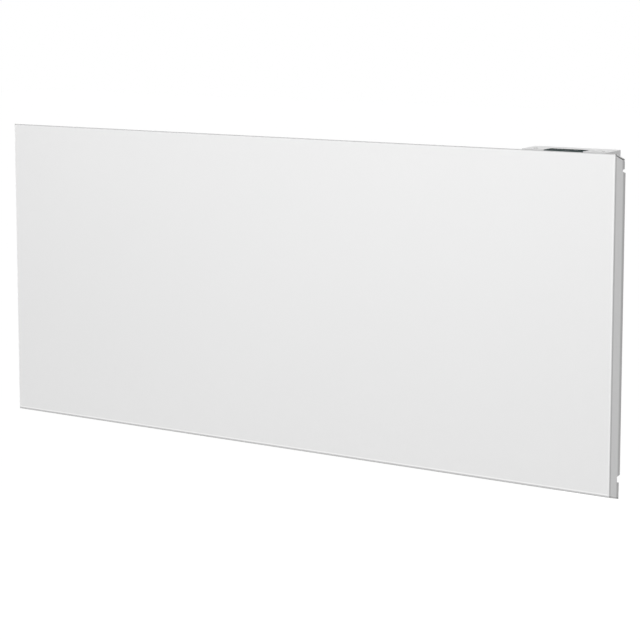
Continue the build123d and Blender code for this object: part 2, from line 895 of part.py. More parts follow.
# ---------------------------------------------------------------- heating element
def make_element_tube():
    """A hairpin: two straight legs and a half-turn at the left end."""
    low, high = leg_heights
    turn_x = element_left + element_leg_gap / 2
    legs = [rod_x(turn_x, element_right, element_y, z, tube_radius) for z in leg_heights]
    section = Plane.YZ.offset(turn_x) * Pos(element_y, high) * Circle(tube_radius)
    turn = revolve(section, Axis((turn_x, element_y, element_z), (0, -1, 0)), 180)
    return legs[0] + legs[1] + turn


def make_element_fins():
    first = element_bracket_x["left"] + fin_left_gap
    last = element_bracket_x["right"] - fin_right_gap
    fins = []
    for i in range(int((last - first) // fin_pitch) + 1):
        x = first + i * fin_pitch
        fin = block(x, x + fin_sheet, element_y - fin_width / 2, element_y + fin_width / 2,
                    element_z - fin_height / 2, element_z + fin_height / 2)
        for z in leg_heights:
            fin -= rod_x(x - past, x + fin_sheet + past, element_y, z, tube_radius + fit_gap)
        fins.append(fin)
    return fins


def make_element_terminals():
    """A ceramic end cap with its stud on each leg's right end."""
    cap_end = element_right + terminal_cap
    return [rod_x(element_right, cap_end, element_y, z, tube_radius)
            + rod_x(cap_end, cap_end + terminal_stud, element_y, z, terminal_stud_radius)
            for z in leg_heights]


def make_element_bushings():
    bushings = []
    for x in element_bracket_x.values():
        fore = x + element_bracket_sheet / 2 - bushing_half
        back = x + element_bracket_sheet / 2 + bushing_half
        for z in leg_heights:
            bushings.append(rod_x(fore, back, element_y, z, bushing_outer)
                            - rod_x(fore - past, back + past, element_y, z, tube_radius + fit_gap))
    return bushings


def make_element_bracket(side):
    """A C-shaped plate from the casing's back to the shield that holds both legs."""
    t = element_bracket_sheet
    x = element_bracket_x[side]
    heights = (element_z - element_bracket_height / 2, element_z + element_bracket_height / 2)
    fore = shield_y + shield_sheet
    bracket = block(x, x + t, fore, casing_inner_y, *heights)
    flange = sorted((x + t / 2, x + t / 2 + outward[side] * element_bracket_flange))
    bracket += block(*flange, fore, fore + t, *heights)
    bracket += block(*flange, casing_inner_y - t, casing_inner_y, *heights)
    for z in leg_heights:
        bracket -= rod_x(x - past, x + t + past, element_y, z, bushing_outer + fit_gap)
    for hole_x, z in bracket_screw_places(side):
        bracket -= screw_hole(hole_x, casing_inner_y - t / 2, z)
    return bracket


def make_heat_shield():
    half = casing_half - shield_side_gap
    high = shield_low + shield_height
    shield = block(-half, half, shield_y, shield_y + shield_sheet, shield_low, high)
    for z0 in (shield_low, high - shield_sheet):
        shield += block(-half, half, shield_y, shield_y + shield_lip, z0, z0 + shield_sheet)
    return shield


# ---------------------------------------------------------------- thermal cut-out and sensor
def make_cutout_clip():
    """A raised spring plate on the casing's back that carries the cut-out."""
    seat = casing_inner_y - cutout_lift
    half = cutout_half_width
    inner = half - cutout_plate
    zs = (cutout_z - cutout_half_height, cutout_z + cutout_half_height)
    clip = block(cutout_x - half, cutout_x + half, seat - cutout_plate, seat, *zs)
    for xs in both_sides(inner, half, cutout_x):
        clip += block(*xs, seat - cutout_plate, casing_inner_y, *zs)
    for xs in both_sides(inner, cutout_foot, cutout_x):
        clip += block(*xs, casing_inner_y - cutout_plate, casing_inner_y, *zs)
    for x, z in cutout_screw_places():
        clip -= screw_hole(x, casing_inner_y - cutout_plate / 2, z)
    return clip


def cutout_front_y():
    return casing_inner_y - cutout_lift - cutout_plate - cutout_height


def make_thermal_cutout():
    """A disc body with a flat tab out to each side."""
    fore = cutout_front_y()
    body = rod_y(cutout_x, fore, fore + cutout_height, cutout_z, cutout_radius)
    for xs in both_sides(cutout_tab_root, cutout_tab_reach, cutout_x):
        body += block(*xs, fore - cutout_tab_sheet, fore, cutout_z - cutout_tab_half,
                      cutout_z + cutout_tab_half)
    return body


def make_sensor_holder():
    """A plastic saddle on the casing's back, low down where cool room air comes in."""
    holder = block(sensor_x - sensor_holder_half, sensor_x + sensor_holder_half,
                   casing_inner_y - sensor_holder_depth, casing_inner_y,
                   sensor_z - sensor_holder_reach, sensor_z + sensor_holder_reach)
    return holder - rod_z(sensor_x, sensor_y, sensor_z - sensor_half, sensor_z + sensor_half,
                          sensor_radius + fit_gap)


def make_temperature_sensor():
    bead = rod_z(sensor_x, sensor_y, sensor_z - sensor_half, sensor_z + sensor_half, sensor_radius)
    tip = bead.edges().filter_by(GeomType.CIRCLE).sort_by(Axis.Z)[0]
    return fillet(tip, 0.8 * sensor_radius)


# ---------------------------------------------------------------- wiring bay
def terminal_ways():
    return [terminal_x + i * terminal_pitch for i in (-1, 0, 1)]


def make_terminal_block():
    """A three-way block: the heater's wires leave upwards, the cord enters from below."""
    back = casing_inner_y
    fore = back - terminal_depth
    low = terminal_z - terminal_height / 2
    body = block(terminal_x - terminal_width / 2, terminal_x + terminal_width / 2, fore, back,
                 low, low + terminal_height)
    for x in terminal_ways():
        body -= rod_y(x, fore - past, fore + terminal_well, terminal_z + terminal_screw_rise,
                      terminal_well_radius)
        body -= rod_z(x, back - terminal_wire_depth, low - past, low + terminal_hole_depth,
                      terminal_hole_radius)
    return body


def make_terminal_screws():
    seat = casing_inner_y - terminal_depth + terminal_well
    return [rod_y(x, seat - terminal_screw_height, seat, terminal_z + terminal_screw_rise,
                  terminal_well_radius - fit_gap) for x in terminal_ways()]


def make_earth_stud():
    disc = rod_y(earth_x, casing_inner_y - earth_disc, casing_inner_y, earth_z, earth_disc_radius)
    return disc + rod_y(earth_x, casing_inner_y - earth_stud_length, casing_inner_y, earth_z,
                        earth_stud_radius)


def lug_front_y():
    return casing_inner_y - earth_disc - lug_sheet


def lug_barrel_y():
    return lug_front_y() - lug_barrel_lift


def earth_stud_hole():
    return rod_y(earth_x, casing_inner_y - earth_stud_length - past, casing_inner_y, earth_z,
                 earth_stud_radius + fit_gap)


def make_earth_lug():
    """A ring under the nut with a crimped barrel above it."""
    sheet = (lug_front_y(), casing_inner_y - earth_disc)
    ring = rod_y(earth_x, *sheet, earth_z, earth_disc_radius)
    low, high = (earth_z + reach for reach in lug_barrel)
    ring += rod_z(earth_x, lug_barrel_y(), low, high, wire_radius + lug_barrel_wall)
    ring += block(earth_x - wire_radius, earth_x + wire_radius, *sheet,
                  earth_z + 1.5 * earth_stud_radius, low + past)
    return ring - earth_stud_hole()


def make_earth_nut():
    face = Plane.XZ * Pos(earth_x, earth_z) * RegularPolygon(earth_nut_radius, 6)
    return Pos(0, lug_front_y(), 0) * extrude(face, earth_nut_height) - earth_stud_hole()


def make_cable_gland():
    top = casing_floor_z + gland_above
    low = casing_floor_z - gland_below
    gland = rod_z(gland_x, gland_y, low, top, gland_sleeve_radius)
    gland += rod_z(gland_x, gland_y, casing_floor_z - gland_flange, casing_floor_z,
                   gland_flange_radius)
    mouth = gland.faces().sort_by(Axis.Z)[0].edges()
    gland = fillet(mouth, (gland_sleeve_radius - gland_bore_radius) * 0.4)
    return gland - rod_z(gland_x, gland_y, low - past, top + past, gland_bore_radius)


def make_gland_nut():
    low = casing_floor_z + casing_sheet
    nut = extrude(Pos(gland_x, gland_y, low) * RegularPolygon(gland_nut_radius, 6),
                  gland_nut_height)
    return nut - rod_z(gland_x, gland_y, low - past, low + gland_nut_height + past,
                       gland_sleeve_radius + fit_gap)


# ---------------------------------------------------------------- power switch
def rocker_well_half():
    """Half width and half height of the well that the rocker moves in."""
    reach = rocker_bezel + rocker_body_gap + rocker_wall
    return rocker_width / 2 - reach, rocker_height / 2 - reach


def make_rocker_housing():
    """A bezel on the casing's right side, the switch body behind it and its tabs."""
    half_y = rocker_width / 2
    half_z = rocker_height / 2
    wall = casing_half
    housing = block(wall, wall + rocker_rim, rocker_y - half_y, rocker_y + half_y,
                    rocker_z - half_z, rocker_z + half_z)
    housing = fillet(housing.edges().group_by(Axis.X)[-1], rocker_rim * 0.375)
    well_y, well_z = rocker_well_half()
    body_y = well_y + rocker_wall
    body_z = well_z + rocker_wall
    back = wall - rocker_body_depth
    housing += block(back, wall, rocker_y - body_y, rocker_y + body_y,
                     rocker_z - body_z, rocker_z + body_z)
    housing -= block(wall - rocker_well, wall + rocker_rim + past, rocker_y - well_y,
                     rocker_y + well_y, rocker_z - well_z, rocker_z + well_z)
    housing += rod_y(wall - rocker_pivot_in, rocker_y - well_y, rocker_y + well_y, rocker_z,
                     rocker_pin_radius)
    for step in (-1, 0, 1):
        middle = rocker_z + step * rocker_tab_step
        housing += block(back - rocker_tab, back, rocker_y - rocker_tab_half,
                         rocker_y + rocker_tab_half, middle - rocker_tab_sheet / 2,
                         middle + rocker_tab_sheet / 2)
    return housing


def make_rocker():
    """The rocking cap, at rest with its lower half pressed in."""
    well_y, well_z = rocker_well_half()
    reach_y = well_y - rocker_play / 2
    reach_z = well_z - 2.5 * rocker_play
    pivot_x = casing_half - rocker_pivot_in
    rise = reach_z * math.tan(math.radians(rocker_tilt))
    heel = 2 * rocker_pin_radius
    half = make_face(Polyline(
        (pivot_x - rocker_heel, -heel),
        (pivot_x - rocker_heel, heel),
        (pivot_x, reach_z),
        (pivot_x + rocker_crown + rise, reach_z),
        (pivot_x + rocker_crown, 0),
        (pivot_x + rocker_crown + rise, -reach_z),
        (pivot_x, -reach_z),
        close=True,
    ))
    cap = extrude(Plane.XZ.offset(-rocker_y) * Pos(0, rocker_z) * half, reach_y, both=True)
    cap -= rod_y(pivot_x, rocker_y - well_y, rocker_y + well_y, rocker_z,
                 rocker_pin_radius + fit_gap)
    return cap.rotate(Axis((pivot_x, rocker_y, rocker_z), (0, 1, 0)), rocker_tilt)


# ---------------------------------------------------------------- control box
def control_prism(x0, x1, y0, y1, z0, below_top=0.0):
    """A block whose top lies below_top under the control box's sloping surface."""
    return prism([
        (y0, z0),
        (y0, control_top(y0) - below_top),
        (y1, control_top(y1) - below_top),
        (y1, z0),
    ], x0, x1)


def button_places():
    y = control_front + button_front
    places = {name: (control_left + offset, y) for name, offset in left_button_offsets.items()}
    for name, offset in right_button_offsets.items():
        places[name] = (control_right - offset, y)
    return places


def board_post_places():
    return [(x, control_back - post_inset) for x in (control_left + post_inset,
                                                     control_right - post_inset)]


def boss_places():
    return [(x, y) for x in (control_left + boss_inset, control_right - boss_inset)
            for y in (control_front + boss_inset - past, control_back - boss_inset + past)]


def box_inside(gap):
    """The x and y ranges inside the box's walls, less a gap all round."""
    inset = plastic_wall + gap
    return (control_left + inset, control_right - inset, control_front + inset, control_back - inset)


def display_inside(inset):
    """The x and y ranges of the display recess, less an inset all round."""
    x0 = control_left + display_left
    y0 = control_front + display_front
    return (x0 + inset, x0 + display_width - inset, y0 + inset, y0 + display_depth - inset)


def make_control_cover():
    cover = control_prism(control_left, control_right, control_front, control_back, cover_floor)
    cover = fillet(cover.edges().filter_by(Axis.Z), cover_corner)
    cover = fillet(cover.faces().sort_by(Axis.Z)[-1].edges(), cover_round)
    wall = plastic_wall
    cover -= control_prism(*box_inside(0), cover_floor - past, wall)
    cover -= control_prism(*display_inside(lens_ledge), cover_floor, -past)
    recess = control_prism(*display_inside(0), cover_floor, -past)
    recess -= control_prism(*display_inside(-past), cover_floor - past, lens_thickness)
    cover -= recess
    half = button_size / 2 + button_gap
    for x, y in button_places().values():
        cover -= control_prism(x - half, x + half, y - half, y + half, cover_floor, -past)
    top = board_z + board_sheet
    for x, y in board_post_places():
        post = rod_z(x, y, top, control_top(y) - wall / 2, post_radius)
        cover += post - rod_z(x, y, board_z, top + board_screw_bite + fit_gap,
                              screw_radius + fit_gap)
    return cover


def make_display_window():
    lens = control_prism(*display_inside(lens_gap), cover_floor, lens_gap / 2)
    return lens - control_prism(*display_inside(-past), cover_floor - past, lens_thickness)


def make_display_module():
    low = board_z + board_sheet
    return block(*display_inside(lens_ledge + screen_gap), low, low + screen_height)


def make_button(x, y):
    """A cap flush with the cover, a flange under it, and a stem down to the switch."""
    half = button_size / 2
    foot = control_top(y) - plastic_wall - button_skirt
    cap = control_prism(x - half, x + half, y - half, y + half, foot)
    cap = fillet(cap.edges().filter_by(Axis.Z), button_corner)
    brim = half + button_brim
    flange = control_prism(x - brim, x + brim, y - brim, y + brim, foot, plastic_wall + seat_gap)
    low = board_z + board_sheet + switch_height + button_travel + seat_gap
    return cap + flange + rod_z(x, y, low, foot + button_skirt, button_stem_radius)


def make_tactile_switches():
    half = switch_size / 2
    low = board_z + board_sheet
    return [block(x - half, x + half, y - half, y + half, low, low + switch_body)
            + rod_z(x, y, low + switch_body, low + switch_height, switch_plunger)
            for x, y in button_places().values()]


def make_board(z, screw_places):
    board = block(*box_inside(board_gap), z, z + board_sheet)
    for x, y in screw_places:
        board -= rod_z(x, y, z - past, z + board_sheet + past, screw_radius + fit_gap)
    return board


def make_board_screws():
    """Screws up into the cover's posts, then down into the housing's bosses."""
    screws = []
    head = screw_radius + board_screw_rim / 2
    for x, y in board_post_places():
        screws.append(rod_z(x, y, board_z - board_screw_head, board_z, head)
                      + rod_z(x, y, board_z, board_z + board_sheet + board_screw_bite, screw_radius))
    top = power_board_z + board_sheet
    for x, y in boss_places():
        screws.append(rod_z(x, y, top, top + board_screw_head, head)
                      + rod_z(x, y, top - board_sheet - board_screw_bite, top, screw_radius))
    return screws


def make_control_housing():
    wall = plastic_wall
    floor = control_floor
    housing = block(control_left, control_right, control_front, control_back, floor, cover_floor)
    housing = fillet(housing.edges().filter_by(Axis.Z), cover_corner)
    housing -= block(*box_inside(0), floor + wall, cover_floor + past)
    for x, y in boss_places():
        housing += rod_z(x, y, floor + wall, power_board_z, boss_radius)
        housing -= rod_z(x, y, power_board_z - board_screw_bite - fit_gap, power_board_z + past,
                         screw_radius + fit_gap)
    housing -= block(wire_hole_x0, wire_hole_x1, wire_lane_y - wire_lane_half,
                     wire_lane_y + wire_lane_half, floor - past, floor + wall + past)
    for x, z in control_screw_places():
        housing -= screw_hole(x, control_back - wall / 2, z)
    return housing


def make_power_board_parts():
    """Relay, supply, choke, capacitor and connector, as shares of the board's size."""
    low = power_board_z + board_sheet

    def part(left, right, front, back, height):
        return block(control_left + left * control_width, control_left + right * control_width,
                     control_front + front * control_depth, control_front + back * control_depth,
                     low, low + height)

    relay = part(0.14, 0.32, 0.33, 0.84, relay_height)
    supply = part(0.35, 0.56, 0.54, 0.87, supply_height)
    choke = part(0.58, 0.68, 0.57, 0.87, choke_height)
    connector = part(0.78, 0.86, 0.63, 0.84, connector_height)
    capacitor = rod_z(control_left + 0.43 * control_width, control_front + 0.30 * control_depth,
                      low, low + capacitor_height, capacitor_radius)
    return [relay, supply, choke, capacitor, connector]


def make_control_bracket():
    """A folded plate between the control box's back and the casing's back."""
    t = element_bracket_sheet
    zs = (control_floor + control_bracket_low, control_floor + control_bracket_high)
    x0 = control_left + control_bracket_left
    x1 = control_right - control_bracket_right
    plate = block(x0, x1, control_back, control_back + t, *zs)
    for web, foot in (((x0, x0 + t), (x0 + t, x0 + control_bracket_foot)),
                      ((x1 - t, x1), (x1 - control_bracket_foot, x1 - t))):
        plate += block(*web, control_back, casing_inner_y, *zs)
        plate += block(*foot, casing_inner_y - t, casing_inner_y, *zs)
    for x, z in control_screw_places():
        plate -= screw_hole(x, control_back + t / 2, z)
    for x, z in control_bracket_screw_places():
        plate -= screw_hole(x, casing_inner_y - t / 2, z)
    return plate


def make_inner_screws():
    """Screws of the element brackets, the cut-out, the control bracket and the control box."""
    element = bracket_screw_places("left") + bracket_screw_places("right")
    screws = [screw_from_back(x, casing_back_y, z, long_screw) for x, z in element]
    feet = cutout_screw_places() + control_bracket_screw_places()
    screws += [screw_from_back(x, casing_back_y, z, short_screw) for x, z in feet]
    seat = control_back + element_bracket_sheet
    screws += [screw_from_back(x, seat, z, short_screw) for x, z in control_screw_places()]
    return screws


# ---------------------------------------------------------------- wires
def wire_lanes():
    """X of the five upright lanes that enter the control box's floor."""
    return [wire_hole_x0 + (i + 0.5) * wire_lane_pitch for i in range(5)]


def make_wires():
    """Every insulated wire, from the face it starts on to the face it ends on."""
    switched_x, return_x, feed_x, neutral_x, sensor_lane_x = wire_lanes()
    lane = wire_lane_y
    board = power_board_z
    block_top = terminal_z + terminal_height / 2
    block_y = casing_inner_y - terminal_wire_depth
    lane_z = block_top + block_lane_rise
    earth_way, neutral_way, live_way = terminal_ways()
    low_leg, high_leg = leg_heights
    stud = element_right + terminal_cap + terminal_stud
    loop_x = stud + wire_loop
    tab_y = cutout_front_y() - cutout_tab_sheet / 2
    tab_x = casing_half - rocker_body_depth - rocker_tab
    low_tab = rocker_z - rocker_tab_step
    high_tab = rocker_z + rocker_tab_step
    over_fins = (cutout_z + element_z + fin_height / 2) / 2
    feed_turn = cutout_x - cutout_tab_reach - wire_loop
    lug_top = earth_z + lug_barrel[1]
    routes = {
        "live_wire": [
            (live_way, block_y, block_top),
            (live_way, block_y, low_tab - 3 * wire_bend),
            (live_way, rocker_y, low_tab),
            (tab_x, rocker_y, low_tab),
        ],
        "switched_wire": [
            (tab_x, rocker_y, high_tab),
            (tab_x - 1.5 * wire_bend, rocker_y, high_tab),
            (switched_x, lane, high_tab + 2.5 * wire_bend),
            (switched_x, lane, board),
        ],
        "neutral_wire": [
            (neutral_way, block_y, block_top),
            (neutral_way, block_y, lane_z),
            (neutral_x, lane, lane_z + lane_climb),
            (neutral_x, lane, board),
        ],
        "earth_wire": [
            (earth_way, block_y, block_top),
            (earth_way, block_y, block_top + wire_loop),
            (earth_x, lug_barrel_y(), block_top + wire_loop),
            (earth_x, lug_barrel_y(), lug_top),
        ],
        "cutout_feed_wire": [
            (cutout_x + cutout_tab_reach, tab_y, cutout_z),
            (stud + wire_bend / 2, tab_y, cutout_z),
            (feed_x, lane, cutout_z + 1.25 * lane_climb),
            (feed_x, lane, board),
        ],
        "element_feed_wire": [
            (cutout_x - cutout_tab_reach, tab_y, cutout_z),
            (feed_turn, tab_y, cutout_z),
            (feed_turn, tab_y, over_fins),
            (loop_x, tab_y, over_fins),
            (loop_x, element_y, high_leg),
            (stud, element_y, high_leg),
        ],
        "element_return_wire": [
            (stud, element_y, low_leg),
            (loop_x, element_y, low_leg),
            (return_x, lane, low_leg + lane_climb),
            (return_x, lane, board),
        ],
        "sensor_wire": [
            (sensor_x, sensor_y, sensor_z + sensor_half),
            (sensor_x, sensor_y, lane_z),
            (sensor_lane_x, lane, lane_z + lane_climb),
            (sensor_lane_x, lane, board),
        ],
    }
    return {name: wire_along(points, wire_radius, wire_bend) for name, points in routes.items()}


# ---------------------------------------------------------------- the set of parts
def main():
    os.makedirs("parts", exist_ok=True)
    save("front_panel", make_front_panel())
    save("rear_casing", make_rear_casing())
    save("outlet_grille", make_outlet_grille())
    save("inlet_grille", make_inlet_grille())
    save("casing_screws", *[screw_from_back(x, panel_rear_y + casing_sheet, z, long_screw)
                            for x, z in return_screws()])
    for level, z in rail_heights.items():
        save(f"{level}_rail", make_rail(z))
    for side, x in upright_centres.items():
        save(f"{side}_upright", make_upright(x))
        save(f"{side}_pivot_pin", make_pivot_pin(x))
        save(f"{side}_latch", make_latch(x))
        save(f"{side}_hook", make_hook(x))
        save(f"{side}_catch", make_catch(x))
        save(f"{side}_element_bracket", make_element_bracket(side))
    save("bracket_rivets", *make_bracket_rivets())
    save("catch_bars", *make_catch_bars())
    save("casing_rivets", *make_casing_rivets())
    save("element_tube", make_element_tube())
    save("element_fins", *make_element_fins())
    save("element_terminals", *make_element_terminals())
    save("element_bushings", *make_element_bushings())
    save("heat_shield", make_heat_shield())
    save("cutout_clip", make_cutout_clip())
    save("thermal_cutout", make_thermal_cutout())
    save("inner_screws", *make_inner_screws())
    save("sensor_holder", make_sensor_holder())
    save("temperature_sensor", make_temperature_sensor())
    save("terminal_block", make_terminal_block())
    save("terminal_screws", *make_terminal_screws())
    save("earth_stud", make_earth_stud())
    save("earth_lug", make_earth_lug())
    save("earth_nut", make_earth_nut())
    save("cable_gland", make_cable_gland())
    save("gland_nut", make_gland_nut())
    save("rocker_housing", make_rocker_housing())
    save("power_rocker", make_rocker())
    save("control_cover", make_control_cover())
    save("display_window", make_display_window())
    save("display_module", make_display_module())
    for name, (x, y) in button_places().items():
        save(name, make_button(x, y))
    save("tactile_switches", *make_tactile_switches())
    save("control_board", make_board(board_z, board_post_places()))
    save("power_board", make_board(power_board_z, boss_places()))
    save("board_screws", *make_board_screws())
    save("control_housing", make_control_housing())
    save("power_board_parts", *make_power_board_parts())
    save("control_bracket", make_control_bracket())
    wires = make_wires()
    for name in ("live_wire", "neutral_wire", "earth_wire", "sensor_wire"):
        save(name, wires.pop(name))
    save("element_wires", *wires.values())


main()
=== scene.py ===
import math

import bmesh
import bpy
from mathutils import Matrix, Vector


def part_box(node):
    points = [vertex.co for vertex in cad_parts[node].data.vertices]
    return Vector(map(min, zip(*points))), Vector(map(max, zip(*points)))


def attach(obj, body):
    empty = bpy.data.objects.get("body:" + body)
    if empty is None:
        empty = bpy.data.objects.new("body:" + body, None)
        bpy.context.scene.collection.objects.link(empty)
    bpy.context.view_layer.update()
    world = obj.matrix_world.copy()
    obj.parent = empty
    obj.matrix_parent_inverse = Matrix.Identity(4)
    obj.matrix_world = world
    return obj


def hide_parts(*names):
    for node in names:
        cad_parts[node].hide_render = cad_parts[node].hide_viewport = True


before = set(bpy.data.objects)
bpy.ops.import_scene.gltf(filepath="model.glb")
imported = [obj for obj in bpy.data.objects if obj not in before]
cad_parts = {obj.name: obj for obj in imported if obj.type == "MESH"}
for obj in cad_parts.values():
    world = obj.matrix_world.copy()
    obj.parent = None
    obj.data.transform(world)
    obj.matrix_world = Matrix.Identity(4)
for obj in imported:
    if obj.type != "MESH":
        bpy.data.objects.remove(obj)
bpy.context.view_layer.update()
scene = bpy.context.scene
scene.view_settings.view_transform = "Standard"
print("frame loaded:", len(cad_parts), "nodes")

# the four corners of the heater's front in the photograph fix the camera
cameraPlace = {
    "location": (1.6674, -2.2053, 0.3584),
    "forward": (-0.59985, 0.78728, -0.14271),
    "up": (-0.0867, 0.1133, 0.9898),
    "lens": 130.16,
    "sensor": 36.0,
    "clip": (0.05, 200.0),
}


def placeCamera(place):
    data = bpy.data.cameras.new("camera")
    data.lens = place["lens"]
    data.sensor_width = place["sensor"]
    data.clip_start, data.clip_end = place["clip"]
    camera = bpy.data.objects.new("camera", data)
    scene.collection.objects.link(camera)
    back = -Vector(place["forward"]).normalized()
    right = Vector(place["up"]).cross(back).normalized()
    turn = Matrix((right, back.cross(right), back)).transposed().to_4x4()
    camera.matrix_world = Matrix.Translation(place["location"]) @ turn
    scene.camera = camera


placeCamera(cameraPlace)
print("camera placed")


# shader writing: sums are written on Signals, and every other node comes from Finish.node
class Signal:
    def __init__(self, finish, socket):
        self.finish = finish
        self.socket = socket

    def maths(self, operation, *values):
        return self.finish.node("Math", {"operation": operation}, dict(enumerate(values)))

    def __add__(self, other): return self.maths("ADD", self, other)
    def __radd__(self, other): return self.maths("ADD", other, self)
    def __sub__(self, other): return self.maths("SUBTRACT", self, other)
    def __rsub__(self, other): return self.maths("SUBTRACT", other, self)
    def __mul__(self, other): return self.maths("MULTIPLY", self, other)
    def __rmul__(self, other): return self.maths("MULTIPLY", other, self)
    def __gt__(self, other): return self.maths("GREATER_THAN", self, other)
    def __lt__(self, other): return self.maths("LESS_THAN", self, other)
    def __abs__(self): return self.maths("ABSOLUTE", self)


def larger(first, second):
    return first.maths("MAXIMUM", first, second)


def smaller(first, second):
    return first.maths("MINIMUM", first, second)


def shared(first, second, share):  # this share of the first signal, and the rest of the second
    return first * share + second * (1 - share)


class Finish:
    def __init__(self, name, owner=None):
        self.owner = owner or bpy.data.materials.new(name)
        self.owner.use_nodes = True
        self.tree = self.owner.node_tree
        self.tree.nodes.clear()

    def node(self, kind, settings=None, inputs=None, output=0):
        made = self.tree.nodes.new("ShaderNode" + kind)
        for name, value in (settings or {}).items():
            if name == "stops":
                self.setStops(made.color_ramp, value)
            else:
                setattr(made, name, value)
        for name, value in (inputs or {}).items():
            self.feed(made.inputs[name], value)
        return Signal(self, made.outputs[output] if made.outputs else None)

    def feed(self, socket, value):
        if isinstance(value, Signal):
            self.tree.links.new(value.socket, socket)
        elif isinstance(value, tuple) and len(value) == 3 and socket.type == "RGBA":
            socket.default_value = (*value, 1)
        else:
            socket.default_value = value

    def setStops(self, ramp, stops):
        while len(ramp.elements) < len(stops):
            ramp.elements.new(0.5)
        for element, (place, colour) in zip(ramp.elements, stops):
            element.position = place
            element.color = (*colour, 1)

    def coords(self, stretch=(1, 1, 1)):
        place = self.node("TexCoord", output="Object")
        return self.node("Mapping", None, {"Vector": place, "Scale": stretch})

    def axes(self, names="XYZ", place=None):
        place = place or self.node("TexCoord", output="Object")
        return [self.node("SeparateXYZ", None, {0: place}, output=axis) for axis in names]

    def noise(self, scale, detail=2.0, roughness=0.5, stretch=(1, 1, 1)):
        return self.node("TexNoise", None, {"Vector": self.coords(stretch), "Scale": scale,
                                            "Detail": detail, "Roughness": roughness}, "Fac")

    def cells(self, scale, output="Distance", stretch=(1, 1, 1)):
        return self.node("TexVoronoi", None, {"Vector": self.coords(stretch), "Scale": scale},
                         output)

    def between(self, signal, low, high):  # a soft step from 0 at low to 1 at high
        return self.node("MapRange", {"interpolation_type": "SMOOTHSTEP"},
                         {"Value": signal, "From Min": low, "From Max": high})

    def mix(self, factor, first, second):
        return self.node("Mix", {"data_type": "RGBA"}, {0: factor, 6: first, 7: second}, 2)

    def ramp(self, factor, *stops, interpolation="LINEAR"):
        made = self.node("ValToRGB", {"stops": stops}, {0: factor}, "Color")
        made.socket.node.color_ramp.interpolation = interpolation
        return made

    def bump(self, height, distance, strength):
        return self.node("Bump", None, {"Height": height, "Distance": distance,
                                        "Strength": strength}, "Normal")

    def surface(self, **inputs):
        inputs = {name.replace("_", " "): value for name, value in inputs.items()}
        shader = self.node("BsdfPrincipled", None, inputs)
        self.node("OutputMaterial", None, {"Surface": shader})
        return self.owner


def grey(level):
    return (level, level, level)


# studio: white to the camera, and more light from in front of the heater than from behind
studio = {
    "floorHeight": -0.70,
    "floorSize": 30.0,
    "floorColour": grey(0.80),
    "floorWorn": grey(0.776),
    "floorShowsShadow": 0.30,
    "floorGlow": 1.24,
    "worldTowards": (0.08, -0.95, 0.06),
    "worldLevel": 0.555,
    "worldSwing": 0.44,
    "lamps": {
        "key": {"place": (0.20, -1.00, 0.62), "aim": (0.10, -0.08, 0.0),
                "size": (1.8, 0.35), "power": 5.9},
        "top": {"place": (0.0, 0.05, 1.60), "aim": (0.0, 0.0, 0.0),
                "size": (1.4, 0.8), "power": 0.6},
        "rear": {"place": (-1.2, 1.6, 0.1), "aim": (0.0, 0.0, 0.0),
                 "size": (2.4, 1.8), "power": 13.0},
    },
}


def seenDirectly(finish):  # 1 for rays from the camera, off gloss and through glass
    camera, gloss, glass = [finish.node("LightPath", output=name) for name in
                            ("Is Camera Ray", "Is Glossy Ray", "Is Transmission Ray")]
    return larger(camera, larger(gloss, glass))


def lightWorld(plan):
    world = bpy.data.worlds.new("studio")
    scene.world = world
    finish = Finish("studio", world)
    axes = finish.axes(place=finish.node("TexCoord", output="Generated"))
    towards = sum(axis * part for axis, part in zip(axes, plan["worldTowards"]))
    level = plan["worldLevel"] + plan["worldSwing"] * towards
    direct = seenDirectly(finish)
    strength = direct + (1 - direct) * level
    shader = finish.node("Background", None, {"Color": grey(1.0), "Strength": strength})
    finish.node("OutputWorld", None, {"Surface": shader})


def floorPaint(plan):
    finish = Finish("floorPaint")
    speck = finish.noise(scale=3.0, detail=3.0)
    colour = finish.mix(speck, plan["floorColour"], plan["floorWorn"])
    matt = finish.node("BsdfDiffuse", None, {"Color": colour})
    glow = finish.node("Emission", None, {"Color": grey(1.0), "Strength": plan["floorGlow"]})
    share = seenDirectly(finish) * (1 - plan["floorShowsShadow"])
    above = finish.node("MixShader", None, {0: share, 1: matt, 2: glow})
    below = finish.node("BsdfTransparent")  # so the heater shows from below too
    under = finish.node("NewGeometry", output="Backfacing")
    sided = finish.node("MixShader", None, {0: under, 1: above, 2: below})
    finish.node("OutputMaterial", None, {"Surface": sided})
    return finish.owner


def layFloor(plan):
    mesh = bpy.data.meshes.new("floor")
    shape = bmesh.new()
    bmesh.ops.create_grid(shape, x_segments=1, y_segments=1, size=plan["floorSize"] / 2,
                          matrix=Matrix.Translation((0, 0, plan["floorHeight"])))
    shape.to_mesh(mesh)
    shape.free()
    mesh.materials.append(floorPaint(plan))
    floor = bpy.data.objects.new("floor", mesh)
    scene.collection.objects.link(floor)


def hangLamp(name, plan):
    data = bpy.data.lights.new(name, "AREA")
    data.shape = "RECTANGLE"
    data.size, data.size_y = plan["size"]
    data.energy = plan["power"]
    lamp = bpy.data.objects.new(name, data)
    scene.collection.objects.link(lamp)
    towards = Vector(plan["aim"]) - Vector(plan["place"])
    lamp.matrix_world = (Matrix.Translation(plan["place"])
                         @ towards.to_track_quat("-Z", "Y").to_matrix().to_4x4())
    lamp.visible_camera = False


lightWorld(studio)
layFloor(studio)
for lampName, lampPlan in studio["lamps"].items():
    hangLamp(lampName, lampPlan)
print("studio lit")


